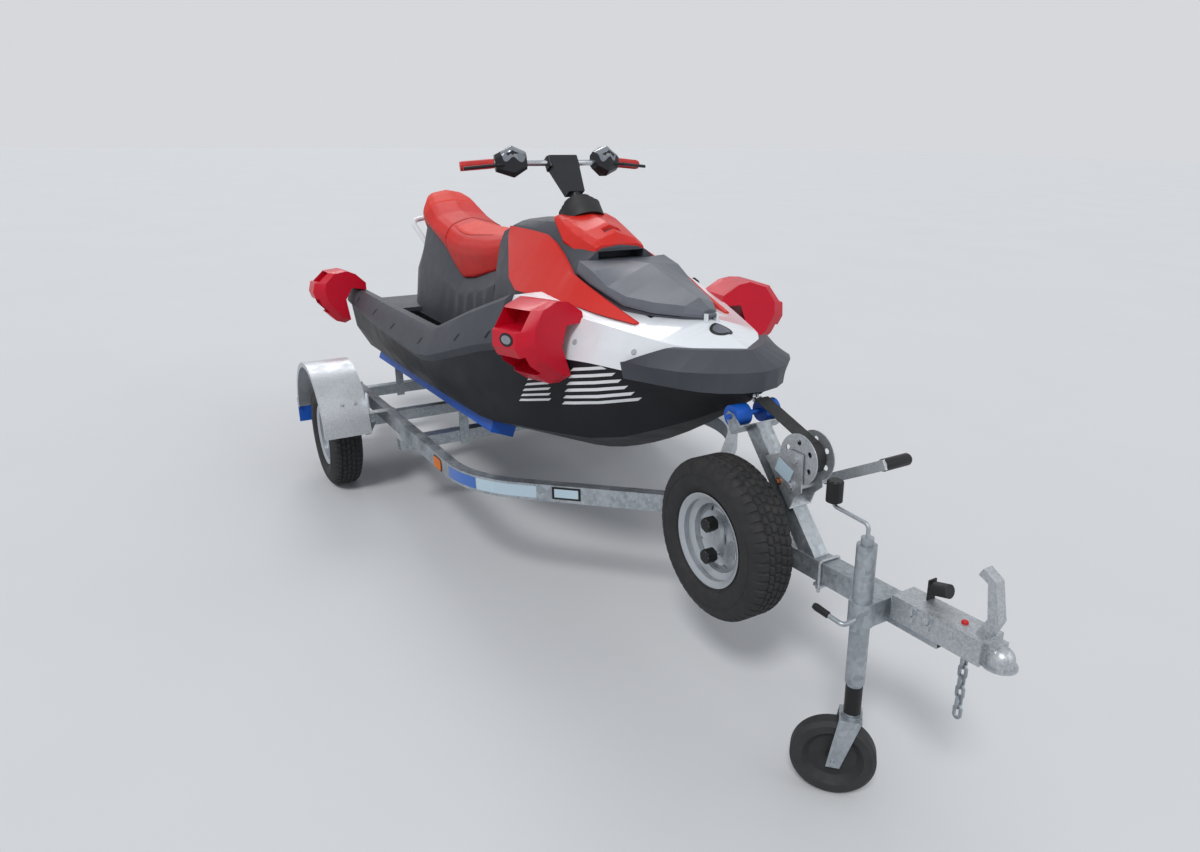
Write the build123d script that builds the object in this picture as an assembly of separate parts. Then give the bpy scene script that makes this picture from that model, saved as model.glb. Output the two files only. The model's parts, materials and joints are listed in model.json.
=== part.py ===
from build123d import *
import os
from math import acos, atan2, ceil, cos, degrees, hypot, pi, radians, sin, tan

# A small two-seat personal watercraft standing on its single-axle road trailer.
# Lengths are millimetres. The pieces are drawn level, x forward, y to port, z up,
# with x = 0 at the trailer's axle and z = 0 on the ground under it. Then the frame and
# the craft are tipped nose-up about the axle, as the raised jockey wheel holds them.

# Stance
TILT = 3.5                    # nose-up angle of the frame and craft, degrees
RUN = 0.05                    # radial running clearance of a shaft in its bore
SOFT = 0.3                    # clearance of a soft piece from its seat
SWING = 5.0                   # clearance of a moving piece

# Road wheels, 145/80 R10
TRACK = 1564.0
WHEEL_R = 243.0
TYRE_W = 143.0
BEAD_R = 127.0
FLANGE_R = 142.0
RIM_W = 116.0
RIM_T = 4.0
DISC_Y = 12.0                 # wheel disc outboard of the rim's middle
HUB_R = 34.0
HUB_BORE_R = 15.0
HUB_Y = (60.0, 34.0)           # hub inboard and outboard of the disc
WELL_R = 108.0
VENT_R = 8.0
VENT_RING_R = 88.0
VENTS = 8
BOLT_PCD = 100.0
BOLT_HOLE_R = 6.5
BOLT_COUNT = 4
BEAD_INSET = 8.0

# Trailer frame
FRAME_TOP = 395.0
BAR_H = 60.0                  # height of drawbar and rails
DRAWBAR_W = 60.0
RAIL_W = 40.0
TUBE_T = 3.0
RAIL_Y = 592.0                # rail centre line beside the craft
RAIL_REAR_X = -520.0
RAIL_BEND_X = 1275.0          # corner of the rail's two straight runs
RAIL_BEND_ANGLE = 45.0
RAIL_BEND_R = 440.0
DRAWBAR_REAR_X = 1700.0
DRAWBAR_FRONT_X = 2760.0
BEAM_H = 50.0
BEAM_W = 60.0
FRONT_BEAM_X = 540.0
REAR_BEAM_X = -430.0
BEAM_OVERHANG = 22.0
AXLE_BEAM_X = 95.0            # torsion tube ahead of the wheel centre
AXLE_BEAM_S = 50.0
AXLE_ARM_W = 24.0
AXLE_ARM_H = 56.0

# Bunks
BUNK_Y = 350.0
BUNK_W = 100.0
BUNK_T = 45.0
BUNK_REAR_X = -540.0
BUNK_FRONT_X = 1040.0
POST_S = 40.0

# Mudguards and lamps
GUARD_W = 200.0
GUARD_R = 325.0
GUARD_T = 3.0
GUARD_RISE = 22.0
GUARD_LIP = 22.0
GUARD_END = 45.0              # its ends stand this high over its centre
GUARD_OUT = 8.0               # its middle outboard of the wheel's
GUARD_ARMS = (-300.0, 290.0)
GUARD_IN_Y = -TRACK / 2 - GUARD_OUT + GUARD_W / 2    # its inner edge, starboard side
LAMP_W = 191.0
LAMP_H = 75.0
LAMP_D = 45.0

# Winch post, winch and bow roller
POST_FOOT_X = 2330.0
POST_TOP_X = 2085.0
POST_TOP_Z = 690.0
POST_W = 50.0
ROLLER_STEM_X = 2040.0        # where the roller meets the stem
ROLLER_OUT = 32.0             # of its axis from the keel line
ROLLER_R = 32.0
ROLLER_L = 52.0
ROLLER_GAP = 54.0
ROLLER_PIN_R = 8.0
YOKE_T = 4.0
DRUM_X = 2285.0
DRUM_Z = 655.0
DRUM_R = 24.0
DRUM_L = 64.0
DRUM_FLANGE_R = 70.0
DRUM_FLANGE_T = 3.0
DRUM_HOLE_R = 8.0
DRUM_HOLES = 6
CRANK_X = DRUM_X - 13.0
CRANK_Z = DRUM_Z - 86.0
CRANK_R = 10.0
CRANK_L = 198.0
CRANK_RISE = 27.7             # slope of the crank's arm as parked, degrees
CRANK_GRIP_L = 96.0
STRAP_W = 50.0
STRAP_T = 3.0

# Spare wheel
SPARE_X = 2085.0
SPARE_Z = 372.0
SPARE_Y = -118.0
KNOB_R = 19.0

# Jockey wheel
JOCKEY_X = 2595.0
JOCKEY_Y = -98.0
JOCKEY_TUBE_R = 24.0
JOCKEY_TUBE_TOP = 548.0
JOCKEY_TUBE_BOTTOM = 176.0
JOCKEY_LEG_R = 20.0
JOCKEY_R = 108.0
JOCKEY_W = 50.0
JOCKEY_LEAN = 0.531            # the leaning wheel's rim reaches this much lower
JOCKEY_TRAIL = 38.0
JOCKEY_TURN = 43.0            # wheel left turned as parked, degrees
JOCKEY_CLAMP_Z = 372.0
JOCKEY_CLAMP_H = 62.0
JOCKEY_CRANK = 112.0          # reach of the crank on its top
CHAIN_PITCH = 27.0
CHAIN_LINKS = 7

# Coupling
COUPLING_REAR_X = 2632.0
COUPLING_RISE = 22.0          # height of the channel above the drawbar
COUPLING_Y = 38.0
COUPLING_BOLTS = (2690.0, 2735.0)
SOCKET_NECK_X = 2872.0
BALL_X = 2895.0
BALL_DROP = 18.0              # ball centre below the drawbar's top
LEVER_W = 28.0
PLUG_X = 2690.0
PLUG_Y = 23.0
BALL_R = 25.0
SOCKET_CLEAR = 0.5
SOCKET_T = 5.0

# Craft
EYE = (2070.0, 0.0, 776.0)
CRAFT_STERN_X = -660.0
KEEL_Z = 345.0
DEADRISE = 21.7
FOOT_Z = 575.0
FOOT_IN_Y = 238.0
FOOT_OUT_Y = 452.0
RUB = 20.0
BIN_X = (1475.0, 1700.0)
BIN_Y = 118.0
BIN_FLOOR_Z = 720.0
BAY_X = (10.0, 560.0)
BAY_Y = 180.0
BAY_Z = (442.0, 880.0)
ENGINE = (500.0, 330.0, 400.0)
STEER_BASE = (1020.0, 1283.0)     # x and z of the column where it leaves the console
STEER_RAKE = 31.0
COLUMN_R = 20.0
COLUMN_ROOT = -75.0           # the column's foot in the console, along the steering axis
BOOT_R = 84.0
BOOT_TOP = 22.0
FORK_LOW = 45.0               # where the handlebar's wedge-shaped fork starts, along the axis
FORK_W = (66.0, 122.0)
FORK_T = 44.0
BAR_ALONG = 192.0             # middle of the bar, along the steering axis
BAR_BACK = 28.0               # and back from it
PAD_W = 133.0                 # pad over the bar's clamp
PAD_D = 48.0
PAD_H = 44.0
BAR_R = 11.0
BAR_REACH = 381.0
BAR_BENDS = (70, 60, 60, 70)
GRIP_L = 122.0
GRIP_R = 17.0
PUMP_Z = 448.0
PUMP_BORE_R = 70.0
PUMP_T = 14.0
PUMP_X = (-495.0, -385.0)
PUMP_HUB_R = 30.0
SHAFT_R = 10.0
VANE_T = 4.0
STATOR_VANES = 5
IMPELLER_BLADES = 4
BLADE_X = 46.0                # length of the blades along the shaft
BLADE_LEAD = 42.0             # advance of the blades for each radian of turn
OUTLET = ((30.0, 54.0), (74.0, 50.0))   # pump outlet: distance behind the duct, and radius
OUTLET_T = 8.0
TUNNEL_Y = 150.0
TUNNEL_Z = 600.0
TUNNEL_FRONT_X = -347.0
NOZZLE_PIVOT_X = PUMP_X[0] - 62.0
BELL = ((8.0, 68.0), (-25.0, 62.0), (-62.0, 44.0))   # nozzle's inside: from its pivot, and radius
BELL_T = 6.0
EAR_Z = (78.0, 85.0)          # steering nozzle's ears, out from the pump's axis
EAR_GAP = 0.5                 # between an ear and the boss that it turns on
PIN_PROUD = 2.0               # of the pins past the ears
BOSS_R = 12.0
PIN_R = 6.0
BUCKET_PIVOT_X = PUMP_X[0] - 10.0
BUCKET_R = 138.0
BUCKET_T = 5.0
BUCKET_Y = 88.0               # inner face of the bucket's arms
BUCKET_ARM_T = 3.0
BUCKET_ARC = (103.0, 157.0)   # raised bucket: angles about its pivot, from straight ahead
LID_T = 12.0
LID_HOLLOW_X = 1780.0         # front end of the hollow in the lid
LID_HINGE = (1852.0, 979.0)
LID_BARREL_R = 7.0
LID_BARREL_L = 29.0
LID_PIN_R = 3.5
FENDER_L = 182.0
FENDER_TAPER = 36.0           # length of each narrowed end
FENDER_GRIP_L = 130.0
STEP = 120.0                  # greatest distance between two drawn sections of the craft
CORNER = 0.2                  # share of an edge that the rounding of each of its ends takes

# Hull sections: x, keel z, chine y, chine deadrise, flare y, flare z, seam y, seam z
HULL_ROWS = (
    (-660, 345, 420, DEADRISE, 484, 625, 500, 742),
    (300, 345, 440, DEADRISE, 506, 612, 540, 702),
    (650, 345, 440, DEADRISE, 504, 604, 538, 686),
    (1000, 345, 430, DEADRISE, 472, 640, 492, 762),
    (1240, 385, 392, 21.5, 424, 672, 440, 820),
    (1440, 448, 316, 17.5, 358, 694, 380, 831),
    (1640, 530, 190, 11.0, 278, 716, 306, 830),
    (1860, 645, 62, 16.0, 150, 764, 200, 812),
    (2060, 765, 10, 22.0, 50, 788, 66, 802),
)
# Gunwale panel: x, top y, top z, inner y
GUNWALE_ROWS = (
    (-660, 482, 842, 446),
    (300, 500, 826, 455),
    (650, 500, 820, 455),
    (1000, 446, 925, 392),
    (1240, 386, 1005, 350),
)
# Bow cover: x, shoulder rise over the seam, shoulder inset, deck y, deck z, crown z
BOW_ROWS = (
    (1240, 46, 8, 375, 1002, 1010),
    (1440, 46, 10, 322, 972, 1005),
    (1640, 46, 12, 252, 945, 990),
    (1835, 56, 10, 180, 918, 972),
    (1880, 58, 11, 160, 912, 953),
    (2040, 56, 16, 28, 892, 900),
)
# Bumper outline from tip to nose: x and y of the lower edge, of the crease and of the upper edge
BUMPER = (
    (1748, 250, 1758, 268, 1762, 262),
    (1880, 206, 1884, 244, 1886, 190),
    (1949, 182, 1975, 207, 1960, 125),
    (2008, 154, 2024, 166, 2000, 75),
    (2052, 116, 2066, 112, 2024, 38),
    (2086, 62, 2094, 58, 2034, 16),
    (2101, 0, 2108, 0, 2040, 0),
)
BUMPER_Z = (796, 856, 906)
# Seat base: x, foot y, waist y, waist z, top y, top z
BASE_ROWS = (
    (-500, 190, 165, 930, 105, 1080),
    (-400, 215, 186, 930, 125, 1165),
    (-50, 226, 196, 920, 140, 1062),
    (170, 226, 198, 880, 150, 940),
    (530, 226, 200, 930, 150, 1002),
    (650, 226, 206, 960, 150, 1022),
)
# Seat: x, lower y, side y, side z, top y, top z, crown z
SEAT_ROWS = (
    (-500, 90, 98, 1250, 80, 1300, 1318),
    (-440, 118, 128, 1240, 96, 1312, 1330),
    (-400, 140, 150, 1225, 112, 1296, 1312),
    (-315, 150, 160, 1190, 122, 1250, 1268),
    (-231, 156, 166, 1160, 128, 1208, 1226),
    (-50, 158, 170, 1120, 126, 1165, 1192),
    (142, 162, 172, 1080, 122, 1128, 1176),
    (424, 158, 168, 1085, 120, 1132, 1172),
    (636, 134, 142, 1110, 95, 1163, 1172),
)
# Knee panels: x, lower y, lower z, upper y, upper z, backing y
KNEE_ROWS = (
    (760, 178, 1165, 167, 1203, 166),
    (1060, 292, 992, 158, 1186, 278),
    (1132, 292, 991, 160, 1162, 278),
    (1300, 276, 990, 190, 1088, 262),
    (1345, 270, 988, 205, 1073, 200),
    (1400, 263, 985, 209, 1058, 197),
    (1560, 236, 968, 193, 1003, 181),
    (1708, 185, 950, 176, 956, 168),
)
# Console: x, foot y, knee y, knee z, shoulder y, shoulder z, brow y, brow z, crown z
CONSOLE_ROWS = (
    (650, 226, 206, 960, 160, 1168, 95, 1198, 1205),
    (760, 228, 240, 975, 164, 1200, 100, 1225, 1232),
    (1050, 232, 278, 988, 140, 1180, 100, 1236, 1240),
    (1104, 236, 278, 988, 138, 1168, 102, 1225, 1243),
    (1160, 240, 278, 987, 142, 1148, 104, 1200, 1232),
    (1232, 240, 270, 986, 150, 1118, 100, 1172, 1215),
    (1300, 240, 262, 986, 160, 1096, 92, 1150, 1180),
    (1330, 235, 250, 985, 160, 1090, 88, 1144, 1148),
)
# Console cover: x, edge y, edge z, brow y, brow z, crown z
COVER_ROWS = (
    (1050, 118, 1242, 100, 1252, 1254),
    (1104, 130, 1207, 108, 1240, 1257),
    (1160, 140, 1168, 114, 1214, 1246),
    (1232, 130, 1138, 108, 1188, 1229),
    (1300, 114, 1120, 98, 1166, 1195),
    (1323, 108, 1114, 92, 1156, 1158),
)
COVER_SLOT = ((1250, 1275), (-35, 35), (1100, 1300))
CONSOLE_MOUTH = ((1250, 1331), (-92, 92), (1108, 1136))   # dark opening under the cover's nose
# Storage lid: x, rim y, rim z, edge y, edge z, crown z
LID_ROWS = (
    (1340, 184, 1078, 174, 1112, 1104),
    (1430, 186, 1052, 174, 1085, 1108),
    (1514, 176, 1028, 166, 1042, 1106),
    (1600, 158, 998, 146, 1018, 1080),
    (1700, 118, 985, 106, 1008, 1048),
    (1790, 66, 982, 54, 1004, 1026),
    (1843, 26, 980, 20, 992, 998),
)
# Fender section: out and up from the tip of the hook that lies on the gunwale
FENDER_ROWS = ((0, 0), (60, 52), (110, 70), (190, 62), (250, 10), (262, -35), (240, -105),
               (160, -190), (118, -203), (135, -88), (91, -24), (0, -40))
# Coupling handle: x from the socket's neck, and height over the drawbar's top
LEVER_ROWS = ((-32, COUPLING_RISE), (-2, COUPLING_RISE), (16, 66), (-2, 156), (-34, 176), (-44, 158),
              (-20, 146), (-10, 66))
# Switch housing: distance from the grip, width, depth, corner
HOUSING_ROWS = ((0, 44, 60, 12), (66, 74, 112, 18), (118, 46, 60, 12))
FENDER_GRIPS = (((120, 30), (300, 120), (300, 25), (150, -5)),
                ((150, -60), (300, -75), (300, -170), (150, -130)))


def mix(rows, x, column):
    """Value of one column of a table at station x, on the straight between two rows."""
    for low, high in zip(rows, rows[1:]):
        if x <= high[0] or high is rows[-1]:
            share = (x - low[0]) / (high[0] - low[0])
            return low[column] + share * (high[column] - low[column])


def spread(low, high):
    """Stations from low to high, both included, no further apart than a step."""
    count = max(1, ceil((high - low) / STEP))
    return [low + (high - low) * part / count for part in range(count + 1)]


def climb(rows, at, column):
    """Slope of a column at one row, level where the column turns back."""
    near = rows[max(0, at - 1):at + 2]
    slopes = [(high[column] - low[column]) / (high[0] - low[0]) for low, high in zip(near, near[1:])]
    if len(slopes) == 1:
        return slopes[0]
    if slopes[0] * slopes[1] <= 0:
        return 0.0
    return 2 * slopes[0] * slopes[1] / (slopes[0] + slopes[1])


def fair(rows):
    """The table with rows added on smooth curves through its columns."""
    full = [rows[0]]
    for at, (low, high) in enumerate(zip(rows, rows[1:])):
        run = high[0] - low[0]
        for x in spread(low[0], high[0])[1:]:
            share = (x - low[0]) / run
            row = [x]
            for column in range(1, len(low)):
                rise = high[column] - low[column]
                start = climb(rows, at, column) * run
                end = climb(rows, at + 1, column) * run
                bend = (3 * rise - 2 * start - end) * share ** 2 + (start + end - 2 * rise) * share ** 3
                row.append(low[column] + start * share + bend)
            full.append(tuple(row))
    return full


HULL, GUNWALE, BOW = fair(HULL_ROWS), fair(GUNWALE_ROWS), fair(BOW_ROWS)
BASE, SEAT, KNEE = fair(BASE_ROWS), fair(SEAT_ROWS), fair(KNEE_ROWS)
CONSOLE, COVER, LID = fair(CONSOLE_ROWS), fair(COVER_ROWS), fair(LID_ROWS)


def stations(low, high, *tables):
    """Every station of the tables from low to high, both ends included."""
    inner = {row[0] for rows in tables for row in rows if low < row[0] < high}
    return sorted(inner | {low, high})


def round_off(points):
    """Open outline with two points in place of each inner corner."""
    soft = [points[0]]
    for before, corner, after in zip(points, points[1:], points[2:]):
        for end in (before, after):
            soft.append(tuple(c + CORNER * (e - c) for c, e in zip(corner, end)))
    return soft + [points[-1]]


def seam_y(x):
    return mix(HULL, x, 6)


def seam_z(x):
    return mix(HULL, x, 7)


def whole(half):
    """Closed outline from its port half, listed from the bottom up."""
    return half + [(-y, z) for y, z in reversed(half) if y]


def skin(sections):
    """Solid through outlines of (y, z) points, each standing at its own x."""
    faces = []
    for x, points in sections:
        corners = [Vector(x, y, z) for y, z in points]
        faces.append(Face(Wire.make_polygon(corners, close=True)))
    return loft(faces, ruled=True)


def block(x, y, z):
    """Box between pairs of limits."""
    size = [high - low for low, high in (x, y, z)]
    centre = [(high + low) / 2 for low, high in (x, y, z)]
    return Pos(*centre) * Box(*size)


def other_side(piece):
    return mirror(piece, about=Plane.XZ)


def both(piece):
    """The piece and its mirror image, as solids that don't touch."""
    return Compound([*piece.solids(), *other_side(piece).solids()])


def rod(start, end, radius, bore=0):
    """Round bar or tube between two points."""
    start, end = Vector(start), Vector(end)
    run = end - start
    plane = Plane(origin=start, z_dir=run.normalized())
    ring = Circle(radius) - Circle(bore) if bore else Circle(radius)
    return extrude(plane * ring, run.length)


def plate(points, plane, thickness):
    """Flat plate with the given outline."""
    outline = make_face(Polyline(*points, close=True))
    return extrude(plane * outline, thickness)


def chamfered(width, depth, corner):
    """Rectangle with its corners cut off."""
    x, y = width / 2, depth / 2
    points = [(x, y - corner), (x - corner, y), (corner - x, y), (-x, y - corner),
              (-x, corner - y), (corner - x, -y), (x - corner, -y), (x, corner - y)]
    return make_face(Polyline(*points, close=True))


def upright(radius, width):
    """Cylinder across the craft, centred on its middle plane."""
    return Rot(90, 0, 0) * Cylinder(radius, width)


def slice_y(points, width):
    """Plate of x and z outline, as wide across the craft as given, centred on its middle plane."""
    return plate(points, Plane(origin=(0, width / 2, 0), x_dir=(1, 0, 0), z_dir=(0, -1, 0)), width)


def across(x, z, y, radius):
    """Round bar in the y direction."""
    return rod((x, y[0], z), (x, y[1], z), radius)


def bar_along(points, radii, radius):
    """Round bar swept along a path of straight runs and arcs."""
    path = FilletPolyline(*points, radius=radii)
    plane = Plane(origin=path @ 0, z_dir=path % 0)
    return sweep(plane * Circle(radius), path=path)


def spin(points, centre):
    """Ring turned about the y direction through centre; points are (radius, y)."""
    outline = make_face(Polyline(*[(r, y) for r, y in points], close=True))
    ring = revolve(outline, Axis.Y)
    return Pos(*centre) * ring


# Craft


def hull_half(x):
    row = [mix(HULL, x, column) for column in range(8)]
    chine = (row[2], row[1] + row[2] * tan(radians(row[3])))
    return [(0, row[1]), chine, (row[4], row[5]), (row[6], row[7])]


def footwell_cut():
    rows = ((-330, FOOT_OUT_Y, FOOT_Z), (700, FOOT_OUT_Y, FOOT_Z), (985, 385, 742))
    sections = []
    for x, out_y, floor in rows:
        sections.append((x, [(FOOT_IN_Y, floor), (out_y, floor), (out_y, 1100), (FOOT_IN_Y, 1100)]))
    return skin(sections)


def intake_cut():
    """Water intake, rising from the keel to the pump."""
    rows = ((TUNNEL_FRONT_X, PUMP_Z + 62), (-145, PUMP_Z + 20), (40, 362))
    return skin([(x, [(-66, 300), (66, 300), (66, high), (-66, high)]) for x, high in rows])


def make_hull():
    hull = skin([(row[0], whole(hull_half(row[0]))) for row in HULL])
    well = footwell_cut()
    hull = hull - well - other_side(well)
    hull -= block((CRAFT_STERN_X - 1, TUNNEL_FRONT_X), (-TUNNEL_Y, TUNNEL_Y), (300, TUNNEL_Z))
    hull -= intake_cut()
    hull -= block(BAY_X, (-BAY_Y, BAY_Y), BAY_Z)
    hull -= block(BIN_X, (-BIN_Y, BIN_Y), (BIN_FLOOR_Z, 1100))
    return hull


def gunwale_points(x):
    top_y, top_z, in_y = [mix(GUNWALE, x, column) for column in (1, 2, 3)]
    out, low = seam_y(x), seam_z(x)
    return [(in_y, low), (out, low), (out + RUB, low + 26), (out + RUB - 6, low + 60),
            (top_y + 20, top_z - 14), (top_y, top_z), (in_y, top_z - 6)]


def make_gunwales():
    xs = stations(CRAFT_STERN_X, 1240, HULL, GUNWALE)
    return both(skin([(x, gunwale_points(x)) for x in xs]))


def bow_half(x):
    rise, inset, deck_y, deck_z, crown = [mix(BOW, x, column) for column in range(1, 6)]
    out, low = seam_y(x), seam_z(x)
    return [(out, low), (out - inset, low + rise), (deck_y, deck_z), (0, crown)]


def bow_deck():
    xs = stations(1240, 2040, HULL, BOW)
    return skin([(x, whole(bow_half(x))) for x in xs])


def lid_hinge_point(y):
    return (LID_HINGE[0], y, LID_HINGE[1])


def make_bow_cover():
    """Bow deck with the storage bin's mouth and the two lugs and pin that carry the lid."""
    cover = bow_deck() - block(BIN_X, (-BIN_Y, BIN_Y), (BIN_FLOOR_Z, 1100))
    x, z = LID_HINGE
    inner = LID_BARREL_L / 2 + 1
    for sign in (1, -1):
        lug = sorted((sign * inner, sign * (inner + 8)))
        cover += block((x - 6, x + 6), lug, (z - 40, z + 6))
    return cover + rod(lid_hinge_point(-inner), lid_hinge_point(inner), LID_PIN_R)


def make_bumper(hull):
    """Moulded nose round the bow, with a crease between its upright and its upper face."""
    outlines = []
    for column, z in zip((0, 2, 4), BUMPER_Z):
        half = [Vector(row[column], row[column + 1], z) for row in BUMPER]
        points = half + [Vector(p.X, -p.Y, z) for p in reversed(half[:-1])]
        outlines.append(Face(Wire.make_polygon(points, close=True)))
    body = loft(outlines, ruled=True)
    body -= slice_y([(1700, 846), (1770, 852), (1886, 906), (1886, 1000), (1700, 1000)], 800)
    body = body - hull - bow_deck()
    return max(body.solids(), key=lambda solid: solid.volume)


def base_half(x):
    foot_y, waist_y, waist_z, top_y, top_z = [mix(BASE, x, column) for column in range(1, 6)]
    return [(foot_y, seam_z(x)), (waist_y, waist_z), (top_y, top_z)]


def make_seat_base():
    xs = stations(-500, 650, HULL, BASE)
    base = skin([(x, whole(base_half(x))) for x in xs])
    return base - block(BAY_X, (-BAY_Y + 20, BAY_Y - 20), BAY_Z)


def seat_half(x):
    low_y, side_y, side_z, top_y, top_z, crown = [mix(SEAT, x, column) for column in range(1, 7)]
    low_z = mix(BASE, x, 5) + SOFT
    return round_off([(low_y, low_z), (side_y, side_z), (top_y, top_z), (0, crown)])


def make_seat():
    xs = stations(SEAT[0][0], SEAT[-1][0], SEAT, BASE)
    return skin([(x, whole(seat_half(x))) for x in xs])


def console_half(x):
    foot_y, knee_y, knee_z, out_y, out_z, brow_y, brow_z, crown = [
        mix(CONSOLE, x, column) for column in range(1, 9)]
    return round_off([(foot_y, 680), (knee_y, knee_z), (out_y, out_z), (brow_y, brow_z), (0, crown)])


def console_block():
    return skin([(row[0], whole(console_half(row[0]))) for row in CONSOLE])


def make_console(hull, gunwales, bow_cover):
    console = console_block() - hull - bow_cover
    for side in gunwales.solids():
        console -= side
    console -= rod(steer_point(COLUMN_ROOT - 1), steer_point(BAR_ALONG), COLUMN_R + RUN)
    console -= block(*CONSOLE_MOUTH)
    return max(console.solids(), key=lambda solid: solid.volume)


def make_knee_panels(console, bow_cover):
    sections = []
    for x, low_y, low_z, top_y, top_z, back_y in KNEE:
        points = [(back_y, low_z - 6), (low_y, low_z), (top_y, top_z), (top_y - 10, top_z - 3)]
        sections.append((x, points))
    panel = skin(sections) - console - bow_cover
    return both(max(panel.solids(), key=lambda solid: solid.volume))


def cover_half(x):
    edge_y, edge_z, brow_y, brow_z, crown = [mix(COVER, x, column) for column in range(1, 6)]
    return [(0, crown - 40), (edge_y - 8, edge_z - 30)] + \
        round_off([(edge_y, edge_z), (brow_y, brow_z), (0, crown)])


def make_console_cover():
    """Cap over the front of the console, with a slot near its nose."""
    cover = skin([(row[0], whole(cover_half(row[0]))) for row in COVER])
    cover -= rod(steer_point(COLUMN_ROOT), steer_point(BAR_ALONG), COLUMN_R + SWING)
    return cover - console_block() - block(*COVER_SLOT)


def lid_half(x, inset):
    """Half of the lid's outline; inset gives the hollow inside it."""
    rim_y, rim_z, edge_y, edge_z, crown = [mix(LID, x, column) for column in range(1, 6)]
    side = rim_y - 12 - inset
    lip_y, lip_z = rim_y - inset, rim_z - inset / 2
    return [(0, 900), (side, 900), (side, rim_z - 12), (lip_y, lip_z - 8), (lip_y, lip_z),
            (edge_y - inset, edge_z - inset), (0, crown - inset)]


def make_lid():
    """Storage lid over the bin, hollow below, with its hinge barrel at the nose."""
    lid = skin([(row[0], whole(lid_half(row[0], 0))) for row in LID])
    hollow = (LID[0][0] + LID_T, LID_HOLLOW_X)
    lid -= skin([(x, whole(lid_half(x, LID_T))) for x in stations(*hollow, LID)])
    lid -= Pos(0, 0, SOFT) * bow_deck()
    lid = max(lid.solids(), key=lambda solid: solid.volume)
    x, z = LID_HINGE
    half = LID_BARREL_L / 2
    lid += rod(lid_hinge_point(-half), lid_hinge_point(half), LID_BARREL_R)
    lid += block((x - 16, x), (-half, half), (z - LID_BARREL_R, z + 4))
    return lid - rod(lid_hinge_point(-half - 1), lid_hinge_point(half + 1), LID_PIN_R + RUN)


def make_rear_deck(seat_base, gunwales):
    thick = 20
    sections = []
    for x in (-680, -330):
        low = seam_z(x)
        sections.append((x, whole([(455, low), (455, low + thick)])))
    deck = skin(sections) - seat_base
    for side in gunwales.solids():
        deck -= side
    return max(deck.solids(), key=lambda solid: solid.volume)


def make_grab_handle(seat_base):
    low = (-440, 110, 1030)
    path = [low, (-600, 150, 1170), (-640, 0, 1190), (-600, -150, 1170), (low[0], -low[1], low[2])]
    handle = bar_along(path, [45, 60, 45], 13) - seat_base
    return max(handle.solids(), key=lambda solid: solid.volume)


def steer_point(along, y=0.0, out=0.0):
    """Point at a distance along the steering axis, and out from it towards the bow."""
    rake = radians(STEER_RAKE)
    x = STEER_BASE[0] - along * sin(rake) + out * cos(rake)
    z = STEER_BASE[1] + along * cos(rake) + out * sin(rake)
    return (x, y, z)


def steer_plane(along, out=0.0):
    """Plane square to the steering axis, its x direction to port."""
    up = Vector(*steer_point(1)) - Vector(*steer_point(0))
    return Plane(origin=steer_point(along, 0, out), x_dir=(0, 1, 0), z_dir=up)


def make_column():
    """Steering column, widening to the fork that holds the bar under a rounded pad."""
    column = rod(steer_point(COLUMN_ROOT), steer_point(FORK_LOW + 20), COLUMN_R)
    low = steer_plane(FORK_LOW) * Rectangle(FORK_W[0], FORK_T)
    high = steer_plane(BAR_ALONG, -BAR_BACK) * Rectangle(FORK_W[1], FORK_T)
    column += loft([low, high], ruled=True)
    pad = steer_plane(BAR_ALONG, -BAR_BACK) * RectangleRounded(PAD_W, PAD_D, 14)
    column += extrude(pad, PAD_H / 2, both=True)
    return column - bar_round(BAR_R + RUN)


def make_boot(console, cover):
    """Ribbed bellows round the column, standing on the console and its cover."""
    inner = COLUMN_R + SWING
    points = [(inner, COLUMN_ROOT), (BOOT_R, COLUMN_ROOT)]
    for rib in range(3):
        radius = BOOT_R - 4 - 14 * rib
        low = BOOT_TOP - 48 + 16 * rib
        points += [(radius, low), (radius, low + 9), (radius - 8, low + 12)]
    points += [(inner, BOOT_TOP)]
    outline = make_face(Polyline(*[(r, 0, h) for r, h in points], close=True))
    boot = steer_plane(0).location * revolve(outline, Axis.Z) - console - cover
    return max(boot.solids(), key=lambda solid: solid.volume)


def bar_points():
    x, _, z = steer_point(BAR_ALONG, 0, -BAR_BACK)
    half = [(x - 73, BAR_REACH, z - 6), (x - 35, 240, z + 4), (x, 90, z + 2)]
    return half + [(x, -y, z) for x, y, z in reversed(half)]


def bar_round(radius):
    return bar_along(bar_points(), BAR_BENDS, radius)


def bar_end():
    """Outer end of the port side of the bar, and the way in from it."""
    outer, inner = [Vector(*point) for point in bar_points()[:2]]
    return outer, (inner - outer).normalized()


def make_grips():
    outer, way = bar_end()
    grip = rod(outer - way * 4, outer + way * GRIP_L, GRIP_R)
    return both(grip - rod(outer, outer + way * (GRIP_L + 1), BAR_R + RUN))


def make_housings():
    """Switch housings inboard of the grips, each swelling to a wide face."""
    outer, way = bar_end()
    place = Plane(origin=outer + way * (GRIP_L + 4), z_dir=way)
    shape = loft([place.offset(along) * chamfered(width, depth, corner)
                  for along, width, depth, corner in HOUSING_ROWS], ruled=True)
    return both(shape - bar_round(BAR_R + RUN))


def make_levers(housings):
    outer, way = bar_end()
    start = outer + way * (GRIP_L + 40) + Vector(20, 0, -6)
    lever = rod(start, outer + way * (GRIP_L - 10) + Vector(44, 0, -6), 6)
    lever += rod(outer + way * (GRIP_L - 10) + Vector(44, 0, -6), outer + Vector(52, 10, -8), 6)
    port = max(housings.solids(), key=lambda solid: solid.center().Y)
    lever = lever - port
    return both(max(lever.solids(), key=lambda solid: solid.volume))


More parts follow.
